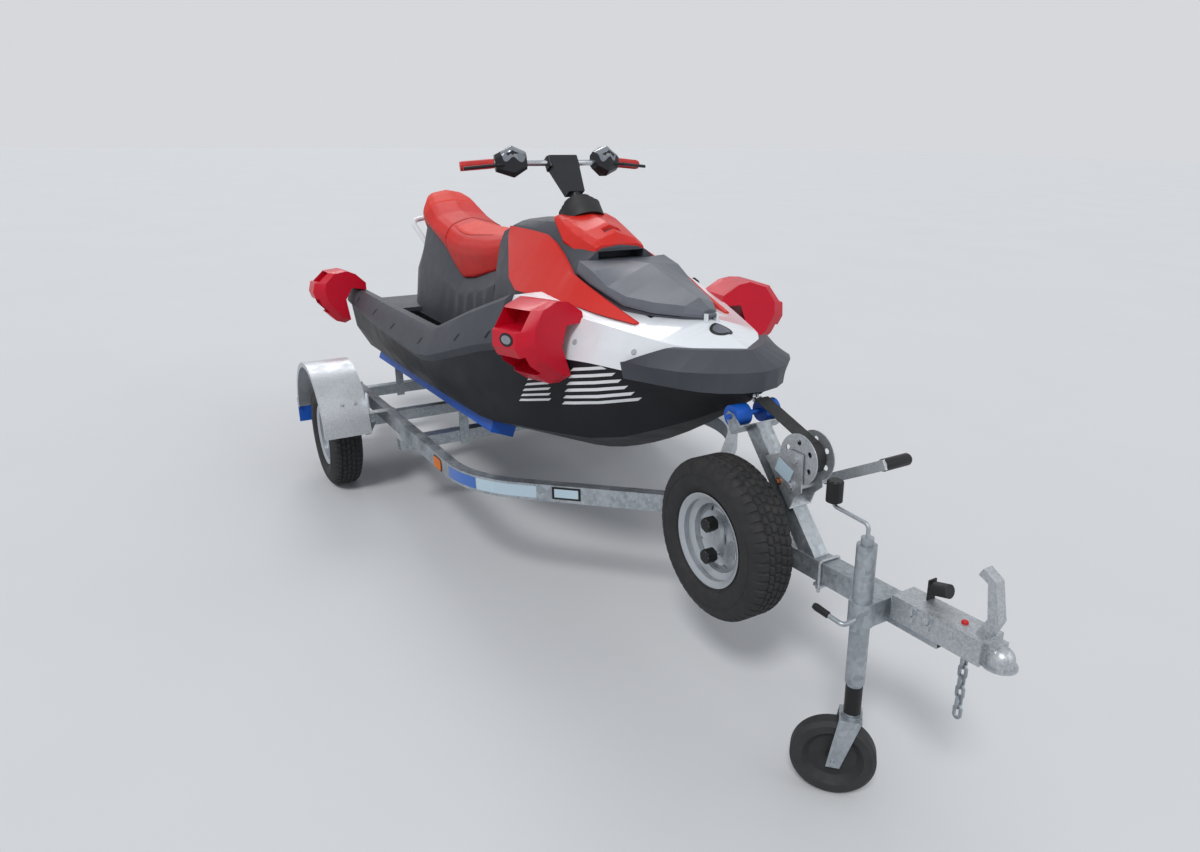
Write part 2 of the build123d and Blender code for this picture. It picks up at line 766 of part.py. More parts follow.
def make_fender(x, y, z, turn, lean, carriers):
    """Moulded fender hooked over the side by a claw, with two grip openings."""
    half = FENDER_L / 2
    sections = []
    for along, reach in ((-half, 0.8), (FENDER_TAPER - half, 1.0), (half - FENDER_TAPER, 1.0), (half, 0.8)):
        sections.append((along, [(out * reach, up * (1 + reach) / 2) for out, up in FENDER_ROWS]))
    shape = skin(sections)
    side = Plane(origin=(-FENDER_GRIP_L / 2, 0, 0), x_dir=(0, 1, 0), z_dir=(1, 0, 0))
    for outline in FENDER_GRIPS:
        shape -= plate(outline, side, FENDER_GRIP_L)
    shape = Pos(x, y, z) * Rot(0, 0, -turn) * Rot(-lean, 0, 0) * shape
    for carrier in carriers:
        for solid in carrier.solids():
            shape -= solid
    return both(max(shape.solids(), key=lambda solid: solid.volume))


def turned(points):
    """Solid of revolution about the pump's axis; points are (x, radius)."""
    outline = make_face(Polyline(*[(x, r) for x, r in points], close=True))
    return Pos(0, 0, PUMP_Z) * revolve(outline, Axis.X)


def make_pump():
    """Jet pump: mounting plate, duct, stator hub with its vanes, tapered outlet and pivot bosses."""
    rear, front = PUMP_X
    outer = PUMP_BORE_R + PUMP_T
    outlet = [(rear - back, radius) for back, radius in OUTLET]
    end = outlet[-1][0]
    body = turned([(front + 1, 0), (front + 1, outer), (rear, outer), *outlet, (end, 0)])
    body += block((front, TUNNEL_FRONT_X), (-95, 95), (PUMP_Z - 88, TUNNEL_Z))
    for sign in (1, -1):
        for reach, radius in ((EAR_Z[0] - EAR_GAP, BOSS_R), (EAR_Z[1] + PIN_PROUD, PIN_R)):
            body += rod((NOZZLE_PIVOT_X, 0, PUMP_Z + sign * 30),
                        (NOZZLE_PIVOT_X, 0, PUMP_Z + sign * reach), radius)
        for reach, radius in ((BUCKET_Y - BUCKET_ARM_T, BOSS_R), (BUCKET_Y + BUCKET_ARM_T, PIN_R)):
            body += rod((BUCKET_PIVOT_X, sign * 30, PUMP_Z), (BUCKET_PIVOT_X, sign * reach, PUMP_Z), radius)
    bore = [(x, radius - OUTLET_T) for x, radius in outlet]
    body -= turned([(TUNNEL_FRONT_X + 1, 0), (TUNNEL_FRONT_X + 1, PUMP_BORE_R), (rear, PUMP_BORE_R), *bore,
                    (end - 1, bore[-1][1]), (end - 1, 0)])
    hub = [(rear + 46, 0), (rear + 46, PUMP_HUB_R), (rear + 10, PUMP_HUB_R), (rear - 40, 12), (rear - 40, 0)]
    body += turned(hub) + stator_vanes()
    return body - turned([(front, 0), (front, SHAFT_R + RUN), (rear + 14, SHAFT_R + RUN), (rear + 14, 0)])


def stator_vanes():
    """Fixed vanes between the hub and the duct, behind the impeller."""
    rear = PUMP_X[0]
    reach = PUMP_BORE_R + 3
    ring = turned([(rear + 40, 20), (rear + 40, reach), (rear + 12, reach), (rear + 12, 20)])
    vane = Pos(0, 0, (20 + reach) / 2) * Rot(0, 0, 12) * Box(60, VANE_T, reach - 20 + 8)
    vanes = [Pos(rear + 26, 0, PUMP_Z) * Rot(360 * turn / STATOR_VANES, 0, 0) * vane & ring
             for turn in range(STATOR_VANES)]
    return vanes[0] + vanes[1:]


def make_impeller():
    """Hub with twisted blades on the drive shaft."""
    rear = PUMP_X[0]
    low = rear + 46 + SWING
    middle = low + BLADE_X / 2
    wheel = rod((low, 0, PUMP_Z), (low + BLADE_X, 0, PUMP_Z), PUMP_HUB_R)
    tip = PUMP_BORE_R - SWING
    foot = PUMP_HUB_R - 6
    blade = []
    for share in (0, 0.5, 1):
        radius = foot + share * (tip - foot)
        pitch = degrees(atan2(BLADE_LEAD, radius))
        outline = Rot(0, 0, 90 - pitch) * Rectangle(BLADE_X / sin(radians(pitch)) * 0.9, VANE_T)
        blade.append(Pos(0, 0, radius) * outline)
    blade = loft(blade, ruled=True)
    for turn in range(IMPELLER_BLADES):
        wheel += Pos(middle, 0, PUMP_Z) * Rot(360 * turn / IMPELLER_BLADES, 0, 0) * blade
    wheel &= rod((low, 0, PUMP_Z), (low + BLADE_X, 0, PUMP_Z), tip)
    return wheel + rod((rear + 16, 0, PUMP_Z), (low + BLADE_X + 14, 0, PUMP_Z), SHAFT_R)


def make_nozzle():
    """Steering nozzle: a bell notched for the pump's bosses, held by an ear above and below."""
    inside = [(NOZZLE_PIVOT_X + x, radius) for x, radius in BELL]
    front, end = inside[0][0], inside[-1][0]
    bell = turned([(front, 0), *[(x, radius + BELL_T) for x, radius in inside], (end, 0)])
    for sign in (1, -1):
        ear = sorted((PUMP_Z + sign * EAR_Z[0], PUMP_Z + sign * EAR_Z[1]))
        link = sorted((PUMP_Z + sign * 40, PUMP_Z + sign * EAR_Z[1]))
        bell += block((NOZZLE_PIVOT_X - 40, NOZZLE_PIVOT_X + 13), (-13, 13), ear)
        bell += block((NOZZLE_PIVOT_X - 40, NOZZLE_PIVOT_X - BOSS_R - 10), (-13, 13), link)
    mouth, tip = inside[0][1], inside[-1][1]
    bell -= turned([(front + 1, 0), (front + 1, mouth), *inside, (end - 1, tip), (end - 1, 0)])
    notch = BOSS_R + SWING
    bell -= rod((NOZZLE_PIVOT_X, 0, PUMP_Z - EAR_Z[0]), (NOZZLE_PIVOT_X, 0, PUMP_Z + EAR_Z[0]), notch)
    return bell - rod((NOZZLE_PIVOT_X, 0, PUMP_Z - 100), (NOZZLE_PIVOT_X, 0, PUMP_Z + 100), PIN_R + RUN)


def make_bucket():
    """Reverse bucket: a curved scoop on two arms that swings down behind the nozzle."""
    reach = 2 * BUCKET_R
    low, high = [radians(angle) for angle in BUCKET_ARC]
    edges = [(reach * cos(low), reach * sin(low)), (reach * cos(high), reach * sin(high))]
    width = 2 * (BUCKET_Y + BUCKET_ARM_T)
    scoop = slice_y([(0, 0), *edges], width) & upright(BUCKET_R, width)
    scoop -= upright(BUCKET_R - BUCKET_T, width)
    for sign in (1, -1):
        outline = [(18, -18), (18, 18), *edges, (-18, -18)]
        arm = slice_y(outline, BUCKET_ARM_T) & upright(BUCKET_R, BUCKET_ARM_T)
        scoop += Pos(0, sign * (BUCKET_Y + BUCKET_ARM_T / 2), 0) * arm
    scoop -= upright(PIN_R + RUN, 2 * width)
    return Pos(BUCKET_PIVOT_X, 0, PUMP_Z) * scoop


def make_engine():
    length, width, height = ENGINE
    low = BAY_X[0] + 20
    return block((low, low + length), (-width / 2 + 10, width / 2 - 10), (BAY_Z[0], BAY_Z[0] + height))


def make_grate(hull):
    """Bars across the water intake, held by the walls beside it."""
    low, high = 374, 386
    grate = block((-320, -308), (-66, 66), (low, high)) + block((-40, -28), (-66, 66), (low, high))
    for y in (-44, -22, 0, 22, 44):
        grate += block((-320, 30), (y - 3, y + 3), (low, low + 8))
    grate -= hull
    return max(grate.solids(), key=lambda solid: solid.volume)


def stem_point(x, out):
    """Point on the stem, and out from it square to the stem."""
    slope = atan2(HULL[-1][1] - HULL[-2][1], HULL[-1][0] - HULL[-2][0])
    return (x + out * sin(slope), 0, mix(HULL, x, 1) - out * cos(slope))


def make_bow_eye(hull):
    """Ring on the hull's nose for the winch strap."""
    ring = Pos(*EYE) * Rot(90, 0, 0) * (Cylinder(18, 10) - Cylinder(9, 12))
    eye = ring - hull
    return max(eye.solids(), key=lambda solid: solid.volume)


# Trailer


def rail_path():
    """Plan of the starboard rail's centre line."""
    turn = radians(RAIL_BEND_ANGLE)
    reach = (RAIL_Y - DRAWBAR_W / 2 - RAIL_W * 0.3) / tan(turn)
    return [(RAIL_REAR_X, -RAIL_Y, FRAME_TOP - BAR_H / 2), (RAIL_BEND_X, -RAIL_Y, FRAME_TOP - BAR_H / 2),
            (RAIL_BEND_X + reach, -RAIL_Y + reach * tan(turn), FRAME_TOP - BAR_H / 2)]


def make_drawbar():
    half, low = DRAWBAR_W / 2, FRAME_TOP - BAR_H
    bar = block((DRAWBAR_REAR_X, DRAWBAR_FRONT_X), (-half, half), (low, FRAME_TOP))
    inner = half - TUBE_T
    hollow = block((DRAWBAR_REAR_X - 1, DRAWBAR_FRONT_X + 1), (-inner, inner), (low + TUBE_T, FRAME_TOP - TUBE_T))
    return bar - hollow


def make_rails(drawbar):
    path = FilletPolyline(*rail_path(), radius=RAIL_BEND_R)
    place = Plane(origin=path @ 0, z_dir=path % 0, x_dir=(0, 0, 1))
    tube = Rectangle(BAR_H, RAIL_W) - Rectangle(BAR_H - 2 * TUBE_T, RAIL_W - 2 * TUBE_T)
    rail = sweep(place * tube, path=path)
    solid = block((DRAWBAR_REAR_X - 200, DRAWBAR_FRONT_X), (-DRAWBAR_W / 2, DRAWBAR_W), (0, 900))
    rail -= solid
    return both(max(rail.solids(), key=lambda s: s.volume))


def make_crossbeams():
    half = RAIL_Y + RAIL_W / 2 + BEAM_OVERHANG
    top = FRAME_TOP - BAR_H
    beams = []
    for x in (REAR_BEAM_X, FRONT_BEAM_X):
        beam = block((x - BEAM_W / 2, x + BEAM_W / 2), (-half, half), (top - BEAM_H, top))
        beam -= block((x - BEAM_W / 2 + TUBE_T, x + BEAM_W / 2 - TUBE_T), (-half - 1, half + 1),
                      (top - BEAM_H + TUBE_T, top - TUBE_T))
        beams.append(beam)
    return beams


def bunk_top(y):
    """Height of the hull's bottom above a point beside the keel."""
    return KEEL_Z + y * tan(radians(DEADRISE))


def make_bunks():
    tilt = Rot(DEADRISE, 0, 0)
    length = BUNK_FRONT_X - BUNK_REAR_X
    shape = Pos(0, 0, -BUNK_T / 2) * Box(length, BUNK_W, BUNK_T)
    shape = Pos((BUNK_FRONT_X + BUNK_REAR_X) / 2, BUNK_Y, bunk_top(BUNK_Y)) * tilt * shape
    return both(shape)


def make_posts(bunks):
    """Uprights from the cross beams to the bunks."""
    posts = []
    inner = BUNK_Y - POST_S / 2
    foot = FRAME_TOP - BAR_H - BEAM_H - 12
    head = bunk_top(inner) - BUNK_T / cos(radians(DEADRISE)) + 30
    for x in (REAR_BEAM_X, FRONT_BEAM_X):
        post = block((x + BEAM_W / 2, x + BEAM_W / 2 + 6), (inner, inner + POST_S), (foot, head))
        for bunk in bunks.solids():
            post -= bunk
        posts.append(max(post.solids(), key=lambda solid: solid.volume))
    return both(Compound(posts))


def make_axle():
    """Torsion tube with a trailing arm and a stub at each end."""
    half = RAIL_Y + RAIL_W / 2 + 10
    top = FRAME_TOP - BAR_H
    side = AXLE_BEAM_S / 2
    middle = top - side
    tube = block((AXLE_BEAM_X - side, AXLE_BEAM_X + side), (-half, half), (top - AXLE_BEAM_S, top))
    arm_run = hypot(AXLE_BEAM_X, middle - WHEEL_R)
    lean = degrees(atan2(middle - WHEEL_R, AXLE_BEAM_X))
    stub_end = TRACK / 2 + DISC_Y + 14
    for sign in (1, -1):
        arm = Rot(0, -lean, 0) * Box(arm_run + AXLE_ARM_H, AXLE_ARM_W, AXLE_ARM_H)
        tube += Pos(AXLE_BEAM_X / 2, sign * (half + AXLE_ARM_W / 2), (middle + WHEEL_R) / 2) * arm
        tube += rod((0, sign * half, WHEEL_R), (0, sign * stub_end, WHEEL_R), HUB_BORE_R)
    return tube


def tyre_ring(centre):
    """Tyre: bead, sidewall, shoulder and crown, the same on both sides."""
    half, crown = TYRE_W / 2, WHEEL_R
    outer = [(BEAD_R, RIM_W / 2 - BEAD_INSET), (BEAD_R + 16, RIM_W / 2 - 4), (BEAD_R + 46, half),
             (crown - 34, half - 2), (crown - 8, half - 16), (crown, half - 30)]
    return spin([(r, -y) for r, y in outer] + outer[::-1], centre)


def rim_ring(centre, hub=True):
    """Pressed steel rim: flanges, bead seats, well and dished disc."""
    half = RIM_W / 2
    port = [(FLANGE_R, half), (BEAD_R, half - BEAD_INSET), (BEAD_R, half - 26), (WELL_R, half - 34)]
    out = [(r, -y) for r, y in port] + port[::-1]
    back = [(r - RIM_T, y) for r, y in reversed(out)]
    ring = spin(out + back, (0, 0, 0))
    face = [(28, -4), (62, -4), (84, 6), (WELL_R - 2, -6)]
    disc = spin([(r, DISC_Y + y - 4) for r, y in reversed(face)] + [(r, DISC_Y + y) for r, y in face], (0, 0, 0))
    rim = ring + disc
    if hub:
        inboard, outboard = DISC_Y - HUB_Y[0], DISC_Y + HUB_Y[1]
        bore = HUB_BORE_R + RUN
        rim += spin([(0, outboard), (HUB_R - 6, outboard), (HUB_R, outboard - 8), (HUB_R, inboard), (0, inboard)],
                    (0, 0, 0))
        rim -= spin([(0, DISC_Y + 16), (bore, DISC_Y + 16), (bore, inboard - 1), (0, inboard - 1)], (0, 0, 0))
    for turn in range(VENTS):
        rim -= disc_hole(360 * (turn + 0.5) / VENTS, VENT_RING_R, VENT_R)
    if not hub:
        for turn in range(BOLT_COUNT):
            rim -= disc_hole(360 * turn / BOLT_COUNT, BOLT_PCD / 2, BOLT_HOLE_R)
    return Pos(*centre) * rim


def disc_hole(turn, ring, radius):
    """Round cutter through the wheel's disc, on a ring about its axle."""
    return Rot(0, turn, 0) * Pos(0, DISC_Y, ring) * Rot(90, 0, 0) * Cylinder(radius, 40)


def guard_shape():
    """Rolled mudguard with turned-down edges, over the starboard wheel."""
    centre_z = WHEEL_R + GUARD_RISE
    plane = Plane(origin=(0, GUARD_IN_Y, centre_z), x_dir=(1, 0, 0), z_dir=(0, -1, 0))
    guard = extrude(plane * (Circle(GUARD_R) - Circle(GUARD_R - GUARD_T)), GUARD_W)
    lip = Circle(GUARD_R) - Circle(GUARD_R - GUARD_LIP)
    for along in (0, GUARD_W - GUARD_T):
        guard += extrude(plane.offset(along) * lip, GUARD_T)
    return guard - block((-500, 500), (-1000, -600), (-200, centre_z + GUARD_END))


def make_guards():
    """Mudguards, each on two angle brackets from the rail."""
    guard = guard_shape()
    low = GUARD_IN_Y - 2
    for x in GUARD_ARMS:
        guard += block((x - 20, x + 20), (low, -RAIL_Y + RAIL_W / 2), (FRAME_TOP, FRAME_TOP + 5))
        guard += block((x - 20, x + 20), (low, low + 5), (FRAME_TOP, FRAME_TOP + 90))
    return both(guard)


def make_flaps(guards):
    """Rubber flap on the rear end of each mudguard."""
    flap = block((-GUARD_R - 3, -GUARD_R + 6), (GUARD_IN_Y - GUARD_W, GUARD_IN_Y),
                 (WHEEL_R - 10, WHEEL_R + GUARD_RISE + 90))
    flap = flap - min(guards.solids(), key=lambda solid: solid.center().Y)
    return both(max(flap.solids(), key=lambda solid: solid.volume))


def make_lamps():
    low = FRAME_TOP - 68
    inner = -RAIL_Y + RAIL_W / 2
    return both(block((RAIL_REAR_X - LAMP_D, RAIL_REAR_X), (inner - LAMP_W, inner), (low, low + LAMP_H)))


def post_frame():
    """Foot and top of the winch post, and the ways along it and out of its front."""
    foot = Vector(POST_FOOT_X, 0, FRAME_TOP)
    top = Vector(POST_TOP_X, 0, POST_TOP_Z)
    way = (top - foot).normalized()
    return foot, top, way, Vector(way.Z, 0, -way.X)


def make_winch_post():
    """Raked square tube on the drawbar, with the bow roller's yoke on its top."""
    foot, top, way, front = post_frame()
    place = Plane(origin=foot - way * 60, x_dir=(0, 1, 0), z_dir=way)
    post = extrude(place * (Rectangle(POST_W, 50) - Rectangle(POST_W - 8, 42)), (top - foot).length + 60)
    post -= block((1800, 2600), (-100, 100), (0, FRAME_TOP))
    x, y, z = roller_centre()
    inside = ROLLER_GAP / 2 + ROLLER_L + 1
    base = Plane(origin=top, x_dir=(0, 1, 0), z_dir=way)
    post += extrude(base * Rectangle(2 * (inside + YOKE_T), 50), YOKE_T)
    for y in (inside + YOKE_T, -inside):
        side = Plane(origin=(0, y, 0), x_dir=(1, 0, 0), z_dir=(0, -1, 0))
        ends = [top + front * 25, top - front * 25]
        outline = [(end.X, end.Z) for end in ends] + [(x - 18, z), (x - 8, z + 15), (x + 14, z + 12)]
        post += plate(outline, side, YOKE_T)
    return post - rod((x, -200, z), (x, 200, z), ROLLER_PIN_R + RUN)


def roller_centre():
    return stem_point(ROLLER_STEM_X, ROLLER_OUT)


def make_roller():
    x, y, z = roller_centre()
    reach = ROLLER_GAP / 2 + ROLLER_L
    roller = rod((x, -reach - 12, z), (x, reach + 12, z), ROLLER_PIN_R)
    for sign in (1, -1):
        roller += rod((x, sign * ROLLER_GAP / 2, z), (x, sign * reach, z), ROLLER_R)
    return roller


def make_winch_frame():
    """Two cheeks and a back plate on the front of the post."""
    foot, top, way, front = post_frame()
    low = foot + way * 125 + front * 25
    high = foot + way * 285 + front * 25
    points = [(low.X, low.Z), (high.X, high.Z), (DRUM_X - 24, DRUM_Z + 22), (DRUM_X + 24, DRUM_Z + 20),
              (DRUM_X + 26, CRANK_Z), (CRANK_X + 12, CRANK_Z - 24)]
    cheek = Pos(0, DRUM_L / 2 + 6, 0) * slice_y(points, 4)
    back = Plane(origin=(low + high) / 2, x_dir=(0, 1, 0), z_dir=front)
    frame = cheek + other_side(cheek) + extrude(back * Rectangle(DRUM_L + 16, 160), 4)
    frame -= across(DRUM_X, DRUM_Z, (-60, 60), CRANK_R + RUN)
    return frame - across(CRANK_X, CRANK_Z, (-60, 60), CRANK_R + RUN)


def make_drum():
    """Winch drum: a core and two flanges with a ring of lightening holes."""
    half = DRUM_L / 2
    drum = across(DRUM_X, DRUM_Z, (-half, half), DRUM_R)
    drum += across(DRUM_X, DRUM_Z, (-half - 16, half + 16), CRANK_R)
    for y in (-half, half - DRUM_FLANGE_T):
        drum += across(DRUM_X, DRUM_Z, (y, y + DRUM_FLANGE_T), DRUM_FLANGE_R)
    ring = (DRUM_R + DRUM_FLANGE_R) / 2
    for turn in range(DRUM_HOLES):
        angle = 2 * pi * (turn + 0.5) / DRUM_HOLES
        x, z = DRUM_X + ring * cos(angle), DRUM_Z + ring * sin(angle)
        drum -= across(x, z, (-half - 1, half + 1), DRUM_HOLE_R)
    return drum


def make_strap():
    """Webbing: the turns on the drum, and the taut run between the rollers to the bow eye."""
    turns_r = DRUM_R + 22
    half = STRAP_W / 2
    core_r = DRUM_R + RUN
    strap = spin([(core_r, -half), (turns_r, -half), (turns_r, half), (core_r, half)], (DRUM_X, 0, DRUM_Z))
    end = Vector(EYE[0] + 18 + SOFT + STRAP_T, 0, EYE[2])
    away = Vector(end.X - DRUM_X, 0, end.Z - DRUM_Z)
    bearing = atan2(away.Z, away.X)
    touch = bearing - acos((turns_r - STRAP_T / 2) / away.length)
    start = Vector(DRUM_X + turns_r * cos(touch), 0, DRUM_Z + turns_r * sin(touch))
    run = end - start
    place = Plane(origin=start, x_dir=(0, 1, 0), z_dir=run)
    return strap + extrude(place * Rectangle(STRAP_W, STRAP_T), run.length)


def make_crank():
    """Crank shaft through both cheeks, arm and grip."""
    arm_y = DRUM_L / 2 + 68
    crank = across(CRANK_X, CRANK_Z, (-DRUM_L / 2 - 12, arm_y + 4), CRANK_R)
    way = Vector(cos(radians(CRANK_RISE)), 0, sin(radians(CRANK_RISE)))
    arm = Plane(origin=Vector(CRANK_X, arm_y, CRANK_Z) - way * 18, x_dir=(0, 1, 0), z_dir=way)
    crank += extrude(arm * Rectangle(8, 28), CRANK_L + 32)
    tip = Vector(CRANK_X, arm_y + 4, CRANK_Z) + way * CRANK_L
    return crank + across(tip.X, tip.Z, (tip.Y, tip.Y + CRANK_GRIP_L), 15)


def make_spare_clamp():
    """Bracket on the drawbar, studs through two wheel bolt holes, and two screw knobs."""
    inner = SPARE_Y - (DISC_Y - 8)
    outer = SPARE_Y - (DISC_Y - 4)
    x = (SPARE_X - 22, SPARE_X + 22)
    z = (SPARE_Z - 56, SPARE_Z + 56)
    middle = FRAME_TOP - BAR_H / 2
    clamp = block((SPARE_X - 20, SPARE_X + 20), (inner, -DRAWBAR_W / 2), (middle - 24, middle + 24))
    clamp += block(x, (inner, inner + 6), z)
    clamp += block(x, (outer - 6, outer), z)
    for rise in (BOLT_PCD / 2, -BOLT_PCD / 2):
        clamp += rod((SPARE_X, inner + 3, SPARE_Z + rise), (SPARE_X, outer - 28, SPARE_Z + rise), 6)
        clamp += rod((SPARE_X, outer - 26, SPARE_Z + rise), (SPARE_X, outer - 58, SPARE_Z + rise), KNOB_R)
    return clamp


def jockey(x, y, z):
    """Point given from the jockey leg's foot, turned with the parked wheel."""
    turn = radians(JOCKEY_TURN)
    return (JOCKEY_X + x * cos(turn) - y * sin(turn), JOCKEY_Y + x * sin(turn) + y * cos(turn), z)


def make_jockey_tube():
    """Tube with its cap, and the bent crank with its knob on top."""
    top, end = JOCKEY_TUBE_TOP, -JOCKEY_CRANK
    tube = rod(jockey_stem(JOCKEY_TUBE_BOTTOM), jockey_stem(top), JOCKEY_TUBE_R, JOCKEY_TUBE_R - 3)
    tube += rod(jockey_stem(top - 4), jockey_stem(top + 2), JOCKEY_TUBE_R)
    tube += rod(jockey_stem(top), jockey_stem(top + 20), 15)
    path = [jockey_stem(top + 18), jockey_stem(top + 52), jockey_stem(top + 60, end), jockey_stem(top + 84, end)]
    tube += bar_along(path, [14, 12], 5)
    return tube + rod(jockey_stem(top + 72, end), jockey_stem(top + 126, end), 17)


def jockey_stem(z, x=0.0):
    """Point at a height on the jockey leg's axis, or beside it towards the craft."""
    return (JOCKEY_X + x, JOCKEY_Y, z)


def make_jockey_clamp():
    low = JOCKEY_CLAMP_Z - JOCKEY_CLAMP_H / 2
    high = JOCKEY_CLAMP_Z + JOCKEY_CLAMP_H / 2
    body = rod(jockey_stem(low), jockey_stem(high), JOCKEY_TUBE_R + 7)
    body += block((JOCKEY_X - 28, JOCKEY_X + 28), (JOCKEY_Y, -DRAWBAR_W / 2), (low, high))
    body -= rod(jockey_stem(low - 1), jockey_stem(high + 1), JOCKEY_TUBE_R)
    rows = ((8, -28, -10), (8, -66, -14), (-70, -84, 6))
    handle = [(JOCKEY_X + x, JOCKEY_Y + y, JOCKEY_CLAMP_Z + z) for x, y, z in rows]
    return body + bar_along(handle, [16], 6)


def tipped(point):
    """Where a point of the level drawing stands once the frame is tipped nose-up."""
    x, y, z = point
    lean = radians(TILT)
    return (x * cos(lean) - (z - WHEEL_R) * sin(lean), y, WHEEL_R + x * sin(lean) + (z - WHEEL_R) * cos(lean))


def jockey_axle_z():
    """Height, in the level drawing, at which the jockey wheel's axle is its radius above the ground."""
    x = jockey(-JOCKEY_TRAIL, 0, 0)[0]
    lean = radians(TILT)
    return WHEEL_R + (JOCKEY_R + JOCKEY_LEAN - WHEEL_R - x * sin(lean)) / cos(lean)


def make_jockey_leg():
    """Sliding leg in the tube, with its wider guide."""
    foot, low = jockey_axle_z() + JOCKEY_R + 26, JOCKEY_TUBE_BOTTOM
    leg = rod(jockey_stem(foot), jockey_stem(low + 220), JOCKEY_LEG_R)
    return leg + rod(jockey_stem(low + 20), jockey_stem(low + 200), JOCKEY_TUBE_R - 3)


def make_jockey_fork():
    axle = jockey_axle_z()
    head = axle + JOCKEY_R + 20
    place = Location((JOCKEY_X, JOCKEY_Y, 0), (0, 0, JOCKEY_TURN))
    fork = block((-30, 26), (-34, 34), (head - 6, head))
    outline = [(-30, head), (26, head), (-JOCKEY_TRAIL + 18, axle - 16), (-JOCKEY_TRAIL - 16, axle - 16)]
    for y in (34, -30):
        fork += plate(outline, Plane(origin=(0, y, 0), x_dir=(1, 0, 0), z_dir=(0, -1, 0)), 4)
    fork += rod((-JOCKEY_TRAIL, -42, axle), (-JOCKEY_TRAIL, 42, axle), 6)
    fork += rod((0, 0, head), (0, 0, head + 6 - RUN), 26)
    return place * fork


def make_jockey_wheel():
    axle = jockey_axle_z()
    half = JOCKEY_W / 2
    port = [(6 + RUN, 28), (18, 28), (18, 6), (60, 6), (74, 20), (78, half - 1), (JOCKEY_R - 10, half),
            (JOCKEY_R, half - 10)]
    wheel = spin([(r, -y) for r, y in port] + port[::-1], (0, 0, 0))
    return Location((JOCKEY_X, JOCKEY_Y, 0), (0, 0, JOCKEY_TURN)) * (Pos(-JOCKEY_TRAIL, 0, axle) * wheel)


def make_coupling(drawbar):
    """Pressed coupling: open-ended channel on the drawbar and the ball socket at its nose."""
    top = FRAME_TOP + COUPLING_RISE
    body = block((COUPLING_REAR_X, SOCKET_NECK_X), (-COUPLING_Y, COUPLING_Y), (FRAME_TOP - 40, top))
    ball_z = FRAME_TOP - BALL_DROP
    outer = BALL_R + SOCKET_CLEAR + SOCKET_T
    body += Pos(BALL_X, 0, ball_z) * Sphere(outer)
    body += rod((BALL_X, 0, ball_z - BALL_DROP), (BALL_X, 0, ball_z), outer)
    body += rod((BALL_X, 0, ball_z - BALL_DROP), (BALL_X, 0, ball_z - BALL_DROP + SOCKET_T), outer + 7)
    body += block((SOCKET_NECK_X - 32, BALL_X), (-24, 24), (ball_z - BALL_DROP, top - 8))
    for x in COUPLING_BOLTS:
        body += across(x, FRAME_TOP - 14, (-COUPLING_Y - 6, COUPLING_Y + 6), 9)
    body -= Pos(BALL_X, 0, ball_z) * Sphere(BALL_R + SOCKET_CLEAR)
    body -= rod((BALL_X, 0, ball_z - 60), (BALL_X, 0, ball_z), BALL_R + SOCKET_CLEAR)
    half = DRAWBAR_W / 2
    inside = (FRAME_TOP - BAR_H, top - SOCKET_T)
    return body - block((COUPLING_REAR_X - 1, DRAWBAR_FRONT_X), (-half, half), inside)


def make_coupling_lever():
    """Raised coupling handle, hooked at its top."""
    return slice_y([(SOCKET_NECK_X + x, FRAME_TOP + z) for x, z in LEVER_ROWS], LEVER_W)


def make_chain():
    """Breakaway chain of oval links hanging under the coupling."""
    outline = SlotOverall(38, 22) - SlotOverall(26, 10)
    flat = Rot(0, 90, 0) * extrude(Plane.XZ * outline, 3, both=True)
    links = [Pos(2800, 20, FRAME_TOP - 59.3 - CHAIN_PITCH * turn) * Rot(0, 0, 90 * (turn % 2)) * flat
             for turn in range(CHAIN_LINKS)]
    return links[0] + links[1:]


def make_plug_holder():
    """Bracket on the coupling with the parked plug of the lamp lead."""
    low = FRAME_TOP + COUPLING_RISE
    x, y = PLUG_X, PLUG_Y
    holder = block((x, x + 4), (y - 13, y + 13), (low, low + 52))
    return holder + rod((x + 4, y, low + 30), (x + 50, y, low + 42), 17)


def craft():
    hull = make_hull()
    gunwales = make_gunwales()
    bow_cover = make_bow_cover()
    console = make_console(hull, gunwales, bow_cover)
    seat_base = make_seat_base()
    cover = make_console_cover()
    housings = make_housings()
    side = (hull, gunwales, bow_cover)
    return {
        "hull": hull,
        "gunwales": gunwales,
        "bow_bumper": make_bumper(hull),
        "bow_cover": bow_cover,
        "seat_base": seat_base,
        "seat": make_seat(),
        "console": console,
        "knee_panels": make_knee_panels(console, bow_cover),
        "console_cover": cover,
        "storage_lid": make_lid(),
        "rear_deck": make_rear_deck(seat_base, gunwales),
        "grab_handle": make_grab_handle(seat_base),
        "column_boot": make_boot(console, cover),
        "steering_column": make_column(),
        "handlebar": bar_round(BAR_R),
        "grips": make_grips(),
        "switch_housings": housings,
        "control_levers": make_levers(housings),
        "front_fenders": make_fender(1465, 305, 978, 15, 12, side),
        "rear_fenders": make_fender(-560, 459, 876, 0, 0, side),
        "jet_pump": make_pump(),
        "impeller": make_impeller(),
        "steering_nozzle": make_nozzle(),
        "reverse_bucket": make_bucket(),
        "engine": make_engine(),
        "intake_grate": make_grate(hull),
        "bow_eye": make_bow_eye(hull),
    }


